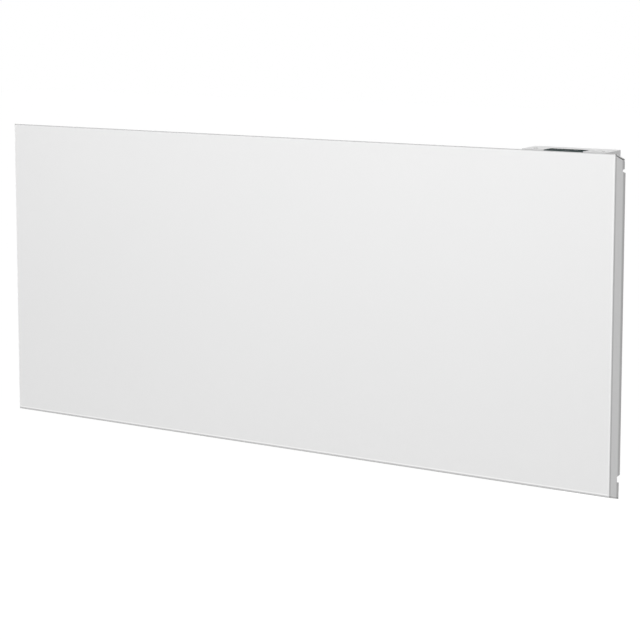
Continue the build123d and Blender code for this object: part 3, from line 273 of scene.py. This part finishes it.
# painted shade along the front panel's bends and a painted highlight just inside its side and
# lower edges, as fine lines;
# "full" and "gone" are the distances at which a line is whole and at which it has faded out
paintedFoldLight = {
    "frontSkin": 0.0016,
    "sideSkin": 0.0009,
    "behindFront": {"rises": (0.0004, 0.0013), "falls": (0.0026, 0.0038), "shade": 0.70},
    "rearBand": {"full": 0.0054, "gone": 0.0078, "shade": 0.67,
                 "above": 0.1664, "below": -0.1677, "cornerCut": 0.0019},
    "topRim": {"full": 0.00018, "gone": 0.0018, "shade": 0.62, "depth": 0.003},
    "bottomRim": {"full": 0.0009, "gone": 0.0018, "shade": 0.76},
    "paintedHighlight": {"full": 0.0004, "gone": 0.0010, "shade": 1.15, "side": 0.0010, "bottom": 0.0020},
}


# painted shade along the front panel's bends and a painted highlight by its edges
def paintFoldShadeAndHighlight(finish, lines):  # 1 on the plain sheet
    low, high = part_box("front_panel")
    x, y, z = finish.axes()
    behind = y - low.y
    fall = (-low.z - high.z) / (high.y - low.y)
    over = z + high.z + behind * fall  # height over the lower edge, which drops to the rear
    onFront = behind < lines["frontSkin"]
    onSide = abs(x) > high.x - lines["sideSkin"]

    def near(distance, line):
        return 1 - finish.between(distance, line["full"], line["gone"])

    first = lines["behindFront"]
    behindFrontShade = finish.between(behind, *first["rises"]) * (1 - finish.between(behind, *first["falls"]))
    rear = lines["rearBand"]
    beyondNotch = (z > rear["above"]) + (z < rear["below"])  # the flange is narrower there
    rearShade = near(high.y - y - beyondNotch * rear["cornerCut"], rear)
    top = lines["topRim"]
    bottom = lines["bottomRim"]
    paintedHighlight = lines["paintedHighlight"]
    fromSide = abs(high.x - paintedHighlight["side"] - abs(x))
    # painted shade at the bends and rims, and a painted highlight by the side and lower edges
    masks = (
        (onSide * behindFrontShade, first),
        (onSide * rearShade, rear),
        ((behind < top["depth"]) * near(high.z - z, top), top),
        (near(over, bottom), bottom),
        (onFront * near(smaller(fromSide, abs(over - paintedHighlight["bottom"])), paintedHighlight), paintedHighlight),
    )
    return math.prod(1 - mask * (1 - line["shade"]) for mask, line in masks)


whiteEnamel = {"level": 0.83, "rough": 0.50, "peel": 850.0, "paintedFolds": paintedFoldLight}
casingEnamel = {"level": 0.78, "rough": 0.48, "peel": 600.0, "paintedFolds": None}
enamelCoat = {"cloud": 5.0, "dustFiner": 4, "toneLow": 0.985, "toneSwing": 0.027,
              "cloudRough": 0.08, "peelRough": 0.06, "shine": 0.3}


def powderCoat(name, plan, coat):
    finish = Finish(name)
    cloud = finish.noise(scale=coat["cloud"], detail=3.0)
    peel = finish.noise(scale=plan["peel"], roughness=0.45)
    dust = finish.noise(scale=plan["peel"] * coat["dustFiner"], detail=1.0)
    tone = plan["level"] * (coat["toneLow"] + shared(cloud, dust, share=0.6) * coat["toneSwing"])
    # painted shade and highlight along the front panel's bends
    if plan["paintedFolds"]:
        tone = tone * paintFoldShadeAndHighlight(finish, plan["paintedFolds"])
    rough = plan["rough"] + (cloud - 0.5) * coat["cloudRough"] + (peel - 0.5) * coat["peelRough"]
    return finish.surface(Base_Color=tone, Roughness=rough, Specular_IOR_Level=coat["shine"],
                          Normal=finish.bump(peel + dust * 0.35, distance=0.00003, strength=0.5))


galvanisedSheet = {"dark": (0.50, 0.51, 0.53), "light": (0.64, 0.65, 0.66), "spangle": 220.0,
                   "metallic": 0.92, "rough": 0.30, "spangleRough": 0.16, "filmRough": 0.1}


def galvanised(plan):
    finish = Finish("galvanisedSheet")
    spangle = finish.cells(scale=plan["spangle"], output="Color", stretch=(1, 1, 0.7))
    tone, tilt = finish.axes("XY", spangle)
    film = finish.noise(scale=35.0, detail=4.0)
    colour = finish.mix(shared(tone, film, share=0.75), plan["dark"], plan["light"])
    rough = plan["rough"] + tilt * plan["spangleRough"] + film * plan["filmRough"]
    return finish.surface(Base_Color=colour, Metallic=plan["metallic"], Roughness=rough,
                          Normal=finish.bump(tone * 0.5 + film, distance=0.00002, strength=0.4))


zincPlate = {"blue": (0.66, 0.69, 0.74), "straw": (0.78, 0.75, 0.66), "rough": 0.2,
             "scuffRough": 0.18}


def brightZinc(plan):
    finish = Finish("brightZinc")
    tint = finish.noise(scale=240.0)
    scuff = finish.noise(scale=900.0, detail=3.0, stretch=(1, 0.3, 1))
    return finish.surface(Base_Color=finish.mix(tint, plan["blue"], plan["straw"]), Metallic=1.0,
                          Roughness=plan["rough"] + scuff * plan["scuffRough"],
                          Normal=finish.bump(scuff, distance=0.00001, strength=0.3))


bluedSteel = {"bloom": ((0.25, (0.10, 0.12, 0.17)), (0.55, (0.20, 0.20, 0.22)),
                        (0.8, (0.27, 0.22, 0.17))),
              "rough": 0.26, "grainRough": 0.14}


def springSteel(plan):
    finish = Finish("bluedSpringSteel")
    grain = finish.noise(scale=700.0, detail=3.0, roughness=0.6, stretch=(1, 1, 0.04))
    bloom = finish.noise(scale=90.0)
    return finish.surface(Base_Color=finish.ramp(shared(grain, bloom, share=0.35), *plan["bloom"]),
                          Metallic=1.0, Roughness=plan["rough"] + grain * plan["grainRough"],
                          Normal=finish.bump(grain, distance=0.000015, strength=0.4))


sheathSteel = {"heat": ((0.3, (0.13, 0.11, 0.10)), (0.5, (0.27, 0.22, 0.17)),
                        (0.68, (0.24, 0.25, 0.31))),
               "metallic": 0.85, "rough": 0.38, "sootRough": 0.2}


def heatTintedSteel(plan):
    finish = Finish("heatTintedSheath")
    along = finish.noise(scale=22.0, detail=3.0, stretch=(1, 0.2, 0.2))
    soot = finish.noise(scale=260.0, detail=4.0)
    return finish.surface(Base_Color=finish.ramp(shared(along, soot, share=0.7), *plan["heat"]),
                          Metallic=plan["metallic"],
                          Roughness=plan["rough"] + soot * plan["sootRough"],
                          Normal=finish.bump(soot, distance=0.00003, strength=0.4))


aluminiumSheet = {"dark": (0.66, 0.67, 0.69), "light": (0.82, 0.83, 0.84), "rough": 0.26,
                  "streakRough": 0.14}


def rolledAluminium(plan):
    finish = Finish("rolledAluminium")
    streak = finish.noise(scale=420.0, detail=3.0, roughness=0.6, stretch=(1, 0.05, 1))
    cloud = finish.noise(scale=30.0)
    colour = finish.mix(shared(streak, cloud, share=0.6), plan["dark"], plan["light"])
    return finish.surface(Base_Color=colour, Metallic=1.0,
                          Roughness=plan["rough"] + streak * plan["streakRough"],
                          Normal=finish.bump(streak, distance=0.00001, strength=0.35))


ceramicBody = {"light": (0.80, 0.77, 0.69), "dark": (0.74, 0.70, 0.62),
               "speck": (0.42, 0.35, 0.28), "speckEdge": (0.10, 0.18), "rough": 0.32,
               "glaze": 0.4, "glazeSwing": 0.2}


def glazedCeramic(plan):
    finish = Finish("glazedCeramic")
    offSpeck = finish.between(finish.cells(scale=700.0), *plan["speckEdge"])
    body = finish.noise(scale=120.0, detail=3.0)
    clay = finish.mix(body, plan["light"], plan["dark"])
    return finish.surface(Base_Color=finish.mix(offSpeck, plan["speck"], clay),
                          Roughness=plan["rough"],
                          Coat_Weight=plan["glaze"] + body * plan["glazeSwing"],
                          Normal=finish.bump(body, distance=0.00003, strength=0.4))


# painted shadow greys the control box at the panel; dark print round its window and in front of it
boxShadeAndPrint = {"gapShadeFade": (0.0008, 0.0018), "level": 0.56, "printDepth": 0.0024, "printPast": 0.0002,
           "print": (0.002, 0.020, 0.020)}


def paintBoxShadeAndPrint(finish, colour):
    low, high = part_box("control_cover")
    windowLow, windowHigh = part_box("display_window")
    x, y, z = finish.axes()
    # painted shadow in the gap between the box's front and the panel
    edge = finish.between(y - low.y, *boxShadeAndPrint["gapShadeFade"])
    beside = abs(x - (windowLow.x + windowHigh.x) / 2)
    past = boxShadeAndPrint["printPast"]
    printed = ((beside < (windowHigh.x - windowLow.x) / 2 + past) * (y < windowHigh.y + past)
               * (z > high.z - boxShadeAndPrint["printDepth"]))
    return finish.mix(printed, finish.mix(edge, grey(boxShadeAndPrint["level"]), colour), boxShadeAndPrint["print"])


blackPlastic = {"dark": grey(0.016), "light": grey(0.028), "rough": 0.50, "shine": 0.5}
whitePlastic = {"dark": grey(0.725), "light": grey(0.755), "rough": 0.46, "shine": 0.15}
sparkRough = 0.1


def mouldedPlastic(name, plan, paint=None):
    finish = Finish(name)
    spark = finish.noise(scale=1500.0, roughness=0.6)
    flow = finish.noise(scale=28.0, detail=3.0, stretch=(1, 0.5, 0.5))
    colour = finish.mix(shared(flow, spark, share=0.5), plan["dark"], plan["light"])
    if paint:
        colour = paint(finish, colour)
    return finish.surface(Base_Color=colour, Specular_IOR_Level=plan["shine"],
                          Roughness=plan["rough"] + (spark - 0.5) * sparkRough,
                          Normal=finish.bump(spark, distance=0.00003, strength=0.5))


boardFace = {"resist": (0.012, 0.10, 0.045), "paleResist": (0.02, 0.14, 0.06),
             "track": (0.04, 0.22, 0.09), "pad": (0.62, 0.62, 0.60), "padEdge": (0.10, 0.16),
             "padMetallic": 0.8, "rough": 0.28, "weaveRough": 0.15}


def circuitBoard(plan):
    finish = Finish("solderResist")
    tracks = finish.node("TexBrick", {"offset": 0.5, "squash": 1.0},
                         {"Vector": finish.coords(), "Scale": 120.0,
                          "Color1": grey(0.0), "Color2": grey(0.0), "Mortar": grey(1.0),
                          "Mortar Size": 0.06, "Brick Width": 0.9, "Row Height": 0.32}, "Fac")
    offPad = finish.between(finish.cells(scale=260.0), *plan["padEdge"])
    weave = finish.noise(scale=900.0, detail=1.0, stretch=(1, 0.4, 1))
    resist = finish.mix(weave, plan["resist"], plan["paleResist"])
    coated = finish.mix(tracks, resist, plan["track"])
    return finish.surface(Base_Color=finish.mix(offPad, plan["pad"], coated),
                          Metallic=(1 - offPad) * plan["padMetallic"],
                          Roughness=plan["rough"] + weave * plan["weaveRough"],
                          Normal=finish.bump(tracks, distance=0.00003, strength=0.5))


# the power board's blue, yellow, black and pale parts, from left to right along x
partRow = {"reach": (0.326, 0.433),
           "hues": ((0.0, (0.02, 0.05, 0.16)), (0.32, (0.30, 0.24, 0.04)),
                    (0.6, (0.03, 0.03, 0.032)), (0.75, (0.45, 0.44, 0.40))),
           "dust": grey(0.25), "rough": 0.38, "sparkRough": 0.2}


def boardParts(plan):
    finish = Finish("boardParts")
    (x,) = finish.axes("X")
    hue = finish.ramp(finish.between(x, *plan["reach"]), *plan["hues"], interpolation="CONSTANT")
    spark = finish.noise(scale=1200.0)
    return finish.surface(Base_Color=finish.mix(spark * 0.3, hue, plan["dust"]),
                          Roughness=plan["rough"] + spark * plan["sparkRough"],
                          Normal=finish.bump(spark, distance=0.00002, strength=0.5))


brassRod = {"aged": (0.62, 0.42, 0.15), "fresh": (0.74, 0.56, 0.26), "rough": 0.22,
            "ringRough": 0.15, "ageRough": 0.08}


def turnedBrass(plan):
    finish = Finish("turnedBrass")
    rings = finish.noise(scale=1800.0, stretch=(1, 0.15, 1))
    age = finish.noise(scale=150.0, detail=3.0)
    rough = plan["rough"] + rings * plan["ringRough"] + age * plan["ageRough"]
    return finish.surface(Base_Color=finish.mix(age, plan["aged"], plan["fresh"]), Metallic=1.0,
                          Roughness=rough,
                          Normal=finish.bump(rings, distance=0.00001, strength=0.4))


sleeves = {
    "brownSleeve": {"colour": (0.15, 0.055, 0.025)},
    "blueSleeve": {"colour": (0.02, 0.08, 0.38)},
    "greenYellowSleeve": {"colour": (0.06, 0.28, 0.05), "stripe": (0.70, 0.60, 0.05)},
    "greySleeve": {"colour": (0.22, 0.22, 0.23)},
    "siliconeSleeve": {"colour": (0.62, 0.58, 0.52)},
}
sleeveSkin = {"darker": 0.82, "stripeEdge": (0.45, 0.55), "rough": 0.42, "fineRough": 0.12}


def wireSleeve(name, plan, skin):
    finish = Finish(name)
    fine = finish.noise(scale=800.0)
    dull = finish.noise(scale=60.0)
    dark = tuple(part * skin["darker"] for part in plan["colour"])
    body = finish.mix(shared(fine, dull, share=0.5), dark, plan["colour"])
    if "stripe" in plan:  # on both sides, along the sleeve
        (side,) = finish.axes("X", finish.node("TexCoord", output="Normal"))
        striped = finish.between(abs(side), *skin["stripeEdge"])
        body = finish.mix(striped, body, plan["stripe"])
    return finish.surface(Base_Color=body, Roughness=skin["rough"] + fine * skin["fineRough"],
                          Normal=finish.bump(fine, distance=0.00002, strength=0.4))


windowLens = {"border": 0.0024, "print": (0.002, 0.012, 0.012), "dark": (0.002, 0.020, 0.020),
              "light": (0.004, 0.028, 0.027), "alpha": 0.55, "rough": 0.30, "hazeRough": 0.05,
              "shine": 0.003}


def smokedLens(plan):
    finish = Finish("smokedLens")
    low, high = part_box("display_window")
    half = (high - low) / 2
    centre = (low + high) / 2
    x, y = finish.axes("XY")
    acrossX = abs(x - centre.x) - (half.x - plan["border"])
    acrossY = abs(y - centre.y) - (half.y - plan["border"])
    printed = larger(acrossX, acrossY) > 0.0
    haze = finish.noise(scale=90.0)
    tint = finish.mix(haze, plan["dark"], plan["light"])
    return finish.surface(Base_Color=finish.mix(printed, tint, plan["print"]),
                          Alpha=printed * (1 - plan["alpha"]) + plan["alpha"],
                          Roughness=plan["rough"] + haze * plan["hazeRough"],
                          Specular_IOR_Level=plan["shine"])


displayFace = {"dark": (0.008, 0.018, 0.018), "light": (0.016, 0.030, 0.030), "rough": 0.22,
               "hazeRough": 0.1, "shine": 0.05}


def displayGlass(plan):
    finish = Finish("displayGlass")
    grid = finish.node("TexChecker", None, {"Vector": finish.coords(), "Scale": 2500.0}, "Fac")
    haze = finish.noise(scale=70.0)
    colour = finish.mix(shared(haze, grid, share=0.7), plan["dark"], plan["light"])
    return finish.surface(Base_Color=colour, Roughness=plan["rough"] + haze * plan["hazeRough"],
                          Specular_IOR_Level=plan["shine"])


inks = {
    "markInk": {"dark": grey(0.10), "light": grey(0.14)},
    "whiteInk": {"dark": grey(0.68), "light": grey(0.74)},
    "digitInk": {"dark": (0.22, 0.30, 0.30), "light": (0.26, 0.35, 0.35)},
}
inkSkin = {"rough": 0.5, "fineRough": 0.1}


def printedInk(name, plan, skin):
    finish = Finish(name)
    fine = finish.noise(scale=2200.0)
    return finish.surface(Base_Color=finish.mix(fine, plan["dark"], plan["light"]),
                          Roughness=skin["rough"] + fine * skin["fineRough"])


finishes = {
    "whiteEnamel": powderCoat("whiteEnamel", whiteEnamel, enamelCoat),
    "casingEnamel": powderCoat("casingEnamel", casingEnamel, enamelCoat),
    "galvanised": galvanised(galvanisedSheet),
    "zinc": brightZinc(zincPlate),
    "spring": springSteel(bluedSteel),
    "sheath": heatTintedSteel(sheathSteel),
    "aluminium": rolledAluminium(aluminiumSheet),
    "ceramic": glazedCeramic(ceramicBody),
    "blackPlastic": mouldedPlastic("blackPolyamide", blackPlastic),
    "whitePlastic": mouldedPlastic("whitePlastic", whitePlastic),
    "boxPlastic": mouldedPlastic("boxPlastic", whitePlastic, paint=paintBoxShadeAndPrint),
    "board": circuitBoard(boardFace),
    "parts": boardParts(partRow),
    "brass": turnedBrass(brassRod),
    "lens": smokedLens(windowLens),
    "display": displayGlass(displayFace),
}
for sleeveName, sleevePlan in sleeves.items():
    finishes[sleeveName] = wireSleeve(sleeveName, sleevePlan, sleeveSkin)
for inkName, inkPlan in inks.items():
    finishes[inkName] = printedInk(inkName, inkPlan, inkSkin)
print("finishes mixed:", len(finishes))

dressing = {
    "whiteEnamel": ["front_panel"],
    "casingEnamel": ["rear_casing", "outlet_grille", "inlet_grille"],
    "galvanised": ["upper_rail", "lower_rail", "left_upright", "right_upright", "left_hook",
                   "right_hook", "left_catch", "right_catch", "left_element_bracket",
                   "right_element_bracket", "control_bracket", "cutout_clip"],
    "spring": ["left_latch", "right_latch"],
    "zinc": ["left_pivot_pin", "right_pivot_pin", "catch_bars", "bracket_rivets", "casing_rivets",
             "casing_screws", "inner_screws", "board_screws", "terminal_screws"],
    "sheath": ["element_tube"],
    "aluminium": ["element_fins", "heat_shield"],
    "ceramic": ["element_bushings", "element_terminals"],
    "blackPlastic": ["thermal_cutout", "rocker_housing", "power_rocker", "cable_gland",
                     "gland_nut", "tactile_switches", "temperature_sensor"],
    "boxPlastic": ["control_cover"],
    "whitePlastic": ["control_housing", "sensor_holder", "terminal_block",
                     "standby_button", "minus_button", "plus_button"],
    "lens": ["display_window"],
    "display": ["display_module"],
    "board": ["control_board", "power_board"],
    "parts": ["power_board_parts"],
    "brass": ["earth_stud", "earth_nut", "earth_lug"],
    "brownSleeve": ["live_wire"],
    "blueSleeve": ["neutral_wire"],
    "greenYellowSleeve": ["earth_wire"],
    "greySleeve": ["sensor_wire"],
    "siliconeSleeve": ["element_wires"],
}


def dress(name, finish):
    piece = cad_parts[name]
    if not piece.material_slots:
        piece.data.materials.append(finish)
    for place in piece.material_slots:
        place.material = finish


for finishName, nodeNames in dressing.items():
    for nodeName in nodeNames:
        dress(nodeName, finishes[finishName])
print("nodes dressed:", sum(len(names) for names in dressing.values()))

creaseAngle = 35  # new pieces shade smooth across flatter edges than this


def addPiece(name, shape, body, finish):
    bmesh.ops.recalc_face_normals(shape, faces=shape.faces)
    mesh = bpy.data.meshes.new(name)
    shape.to_mesh(mesh)
    shape.free()
    mesh.shade_smooth()
    mesh.set_sharp_from_angle(angle=math.radians(creaseAngle))
    mesh.materials.append(finish)
    piece = bpy.data.objects.new(name, mesh)
    scene.collection.objects.link(piece)
    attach(piece, body)
    return piece


def facing(place, right, up):  # a frame on a surface: x to the right, y up it, z out of it
    right, up = Vector(right).normalized(), Vector(up).normalized()
    return Matrix.Translation(place) @ Matrix((right, up, right.cross(up))).transposed().to_4x4()


def roundedBar(shape, length, width, height, at=(0, 0), turn=0.0, rounding=0.45):
    place = (Matrix.Translation((*at, height / 2)) @ Matrix.Rotation(math.radians(turn), 4, "Z")
             @ Matrix.Diagonal((length, width, height, 1)))
    verts = bmesh.ops.create_cube(shape, size=1, matrix=place)["verts"]
    edges = dict.fromkeys(edge for vert in verts for edge in vert.link_edges)
    uprights = [edge for edge in edges
                if abs((edge.verts[0].co - edge.verts[1].co).z) > height / 2]
    bmesh.ops.bevel(shape, geom=uprights, offset=min(length, width) * rounding, segments=3,
                    profile=0.5, affect="EDGES", material=-1)


def arcBand(shape, radius, width, height, start=0.0, sweep=360.0, at=(0, 0), step=12.0):
    first = [shape.verts.new((radius + side * width / 2, 0, level))
             for side, level in ((-1, 0), (1, 0), (1, height), (-1, height))]
    section = shape.faces.new(first)
    bmesh.ops.rotate(shape, verts=first, cent=(0, 0, 0),
                     matrix=Matrix.Rotation(math.radians(start), 3, "Z"))
    before = set(shape.verts) - set(first)
    closed = sweep >= 360
    bmesh.ops.spin(shape, geom=[*first, *section.edges, section], cent=(0, 0, 0), axis=(0, 0, 1),
                   angle=math.radians(sweep), steps=round(sweep / step), use_merge=closed)
    made = [vert for vert in shape.verts if vert not in before]
    bmesh.ops.translate(shape, verts=made, vec=(*at, 0))


# cross-recess pan heads in place of the plain casing screws and inner screws
panScrews = {
    "sides": 24,
    "headHeight": 0.0018,
    "rimRound": 0.0009,
    "recessInset": 0.0002,
    "recessArm": 0.0018,
    "recessWaist": 0.268,  # half of an arm's width over its reach
    "cornerSlack": 0.01,  # a vertex right on an arm's corner belongs to the arm's end
    "recessDepth": 0.0011,
    "recessFloor": 0.62,
    "shaftSides": 16,
    "shaftRadius": 0.0015,
    "shaftBite": 0.0002,  # how far the shaft runs into the head
    "tip": 0.0004,
    "turnEach": 37,
}


def panHead(shape, radius, plan):

    def topFace():
        return max(shape.faces, key=lambda face: face.calc_center_median().z)

    bmesh.ops.create_cone(shape, cap_ends=True, segments=plan["sides"], radius1=radius,
                          radius2=radius, depth=plan["headHeight"],
                          matrix=Matrix.Translation((0, 0, plan["headHeight"] / 2)))
    bmesh.ops.bevel(shape, geom=list(topFace().edges), offset=plan["rimRound"], segments=3,
                    profile=0.5, affect="EDGES", material=-1)
    bmesh.ops.inset_region(shape, faces=[topFace()], thickness=plan["recessInset"])
    recess = topFace()
    corner = math.atan(plan["recessWaist"]) + plan["cornerSlack"]
    for vert in recess.verts:  # the inset ring becomes the outline of a cross
        across, along = sorted((abs(vert.co.x), abs(vert.co.y)))
        angle = math.atan2(across, along)
        if angle < corner:
            reach = plan["recessArm"] / math.cos(angle)
        else:
            reach = plan["recessArm"] * plan["recessWaist"] / math.sin(angle)
        vert.co.xy = vert.co.xy.normalized() * reach
    floor = bmesh.ops.extrude_discrete_faces(shape, faces=[recess])["faces"][0]
    bmesh.ops.translate(shape, verts=floor.verts, vec=(0, 0, -plan["recessDepth"]))
    bmesh.ops.scale(shape, verts=floor.verts, vec=(plan["recessFloor"], plan["recessFloor"], 1))


def screwShaft(shape, length, plan):
    bite = plan["shaftBite"]
    verts = bmesh.ops.create_cone(shape, cap_ends=True, segments=plan["shaftSides"],
                                  radius1=plan["shaftRadius"], radius2=plan["shaftRadius"],
                                  depth=length + bite,
                                  matrix=Matrix.Translation((0, 0, (bite - length) / 2)))["verts"]
    end = min({face for vert in verts for face in vert.link_faces},
              key=lambda face: face.calc_center_median().z)
    bmesh.ops.bevel(shape, geom=list(end.edges), offset=plan["tip"], segments=1, profile=0.5,
                    affect="EDGES", material=-1)


def panScrew(headRadius, length, plan):  # head up along z, its seat at z = 0
    shape = bmesh.new()
    panHead(shape, headRadius, plan)
    screwShaft(shape, length - plan["headHeight"], plan)
    return shape


def solidsOf(name):  # the low and high corners of each separate solid in a CAD node
    shape = bmesh.new()
    shape.from_mesh(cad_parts[name].data)
    bmesh.ops.remove_doubles(shape, verts=shape.verts, dist=0.000002)
    unseen = set(shape.verts)
    boxes = []
    while unseen:
        island = [unseen.pop()]
        for vert in island:
            for edge in vert.link_edges:
                other = edge.other_vert(vert)
                if other in unseen:
                    unseen.remove(other)
                    island.append(other)
        axes = list(zip(*(vert.co for vert in island)))
        boxes.append((Vector([min(axis) for axis in axes]), Vector([max(axis) for axis in axes])))
    shape.free()
    return sorted(boxes, key=lambda box: tuple(box[0]))


def seatScrews(name, node, plan):
    whole = bmesh.new()
    boxes = solidsOf(node)
    for number, (low, high) in enumerate(boxes):
        middle = (low + high) / 2
        screw = panScrew((high.x - low.x) / 2, high.y - low.y, plan)
        seat = (middle.x, high.y - plan["headHeight"], middle.z)
        turn = math.radians(plan["turnEach"] * number)
        bmesh.ops.transform(screw, verts=screw.verts,
                            matrix=facing(seat, (-math.cos(turn), 0, math.sin(turn)),
                                          (math.sin(turn), 0, math.cos(turn))))
        mesh = bpy.data.meshes.new("single")
        screw.to_mesh(mesh)
        screw.free()
        whole.from_mesh(mesh)
        bpy.data.meshes.remove(mesh)
    piece = addPiece(name, whole, "heater", finishes["zinc"])
    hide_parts(node)
    print(name + ":", len(boxes))


seatScrews("casing_pan_screws", "casing_screws", panScrews)
seatScrews("inner_pan_screws", "inner_screws", panScrews)

# printed marks on the three buttons, whose caps slope with the control box's top
markSink = 0.00004
buttonMarks = {"thick": 0.00012, "stroke": 0.00065, "reach": 0.0038, "ring": 0.0020,
               "ringOpen": 70.0, "barLength": 0.00228, "barAt": (0, 0.0016),
               "capSize": 0.011, "slope": math.atan2(1.5, 29.6)}  # the box's rise over its depth


def placeMark(name, shape, place, body, finish):
    sunk = Matrix.Translation((0, 0, -markSink))
    bmesh.ops.transform(shape, verts=shape.verts, matrix=place @ sunk)
    addPiece(name, shape, body, finish)


def standbyMark(shape, plan):
    gap = plan["ringOpen"]
    arcBand(shape, plan["ring"], plan["stroke"], plan["thick"], 90 + gap / 2, 360 - gap)
    roundedBar(shape, plan["barLength"], plan["stroke"], plan["thick"], at=plan["barAt"], turn=90)


def minusMark(shape, plan):
    roundedBar(shape, plan["reach"], plan["stroke"], plan["thick"])


def plusMark(shape, plan):
    minusMark(shape, plan)
    arm = (plan["reach"] - plan["stroke"]) / 2
    for side in (-1, 1):
        roundedBar(shape, arm, plan["stroke"], plan["thick"],
                   at=(0, side * (arm + plan["stroke"]) / 2), turn=90, rounding=0.3)


def markButton(button, draw, plan):
    low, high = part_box(button + "_button")
    cap = (low + high) / 2
    cap.z = high.z - plan["capSize"] / 2 * math.tan(plan["slope"])
    up = (0, math.cos(plan["slope"]), math.sin(plan["slope"]))
    shape = bmesh.new()
    draw(shape, plan)
    placeMark(button + "_mark", shape, facing(cap, (1, 0, 0), up), button + "_button",
              finishes["markInk"])


for buttonName, markMaker in (("standby", standbyMark), ("minus", minusMark), ("plus", plusMark)):
    markButton(buttonName, markMaker, buttonMarks)

# I and O on the rocker's two faces
rockerMarks = {
    "thick": 0.00012,
    "bar": {"length": 0.0034, "width": 0.0008},
    "ring": {"radius": 0.0014, "width": 0.0007},
    "faces": {
        "on": {"at": (0.414053, -0.045, 0.094233), "lean": 20.0},
        "off": {"at": (0.412924, -0.045, 0.087832), "lean": 0.0},
    },
}


def markRocker(label, face, plan):
    lean = math.radians(face["lean"])
    shape = bmesh.new()
    if label == "on":
        bar = plan["bar"]
        roundedBar(shape, bar["length"], bar["width"], plan["thick"], turn=90)
    else:
        ring = plan["ring"]
        arcBand(shape, ring["radius"], ring["width"], plan["thick"])
    placeMark("rocker_" + label + "_mark", shape,
              facing(face["at"], (0, 1, 0), (math.sin(lean), 0, math.cos(lean))),
              "power_rocker", finishes["whiteInk"])


for faceLabel, facePlan in rockerMarks["faces"].items():
    markRocker(faceLabel, facePlan, rockerMarks)
print("marks printed")

# unlit digits, a degree ring and five level bars under the smoked window
displayMarks = {
    "text": "20",
    "height": 0.0054,
    "width": 0.0030,
    "stroke": 0.0006,
    "thick": 0.0002,
    "start": -0.0058,
    "pitch": 0.0048,
    "segmentCut": 0.00069,
    "sink": 0.00005,
    "degree": {"radius": 0.0007, "width": 0.0004, "at": (0.0026, 0.002268)},
    "bars": {"count": 5, "width": 0.0007, "shortest": 0.0010, "growth": 0.0007,
             "start": 0.0061, "pitch": 0.0013, "foot": -0.0027},
}
segmentsOf = {"2": "abged", "0": "abcdef"}
segmentPlaces = {  # side, level and turn of each segment of a digit
    "a": (0, 2, 0), "d": (0, -2, 0), "g": (0, 0, 0), "b": (1, 1, 90), "c": (1, -1, 90),
    "e": (-1, -1, 90), "f": (-1, 1, 90),
}


def drawDigit(shape, digit, x, plan):
    for segment in segmentsOf[digit]:
        side, level, turn = segmentPlaces[segment]
        length = (plan["height"] / 2 if turn else plan["width"]) - plan["segmentCut"]
        roundedBar(shape, length, plan["stroke"], plan["thick"],
                   at=(x + side * plan["width"] / 2, level * plan["height"] / 4), turn=turn,
                   rounding=0.4)


def drawBars(shape, bars, thick):
    for step in range(bars["count"]):
        tall = bars["shortest"] + step * bars["growth"]
        roundedBar(shape, bars["width"], tall, thick,
                   at=(bars["start"] + step * bars["pitch"], bars["foot"] + tall / 2),
                   rounding=0.2)


def layDigits(plan):
    low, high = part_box("display_module")
    middle = (low + high) / 2
    shape = bmesh.new()
    for number, digit in enumerate(plan["text"]):
        drawDigit(shape, digit, plan["start"] + number * plan["pitch"], plan)
    degree = plan["degree"]
    arcBand(shape, degree["radius"], degree["width"], plan["thick"], at=degree["at"])
    drawBars(shape, plan["bars"], plan["thick"])
    place = Matrix.Translation((middle.x, middle.y, high.z - plan["sink"]))
    bmesh.ops.transform(shape, verts=shape.verts, matrix=place)
    addPiece("display_digits", shape, "heater", finishes["digitInk"])


layDigits(displayMarks)
print("digits laid")
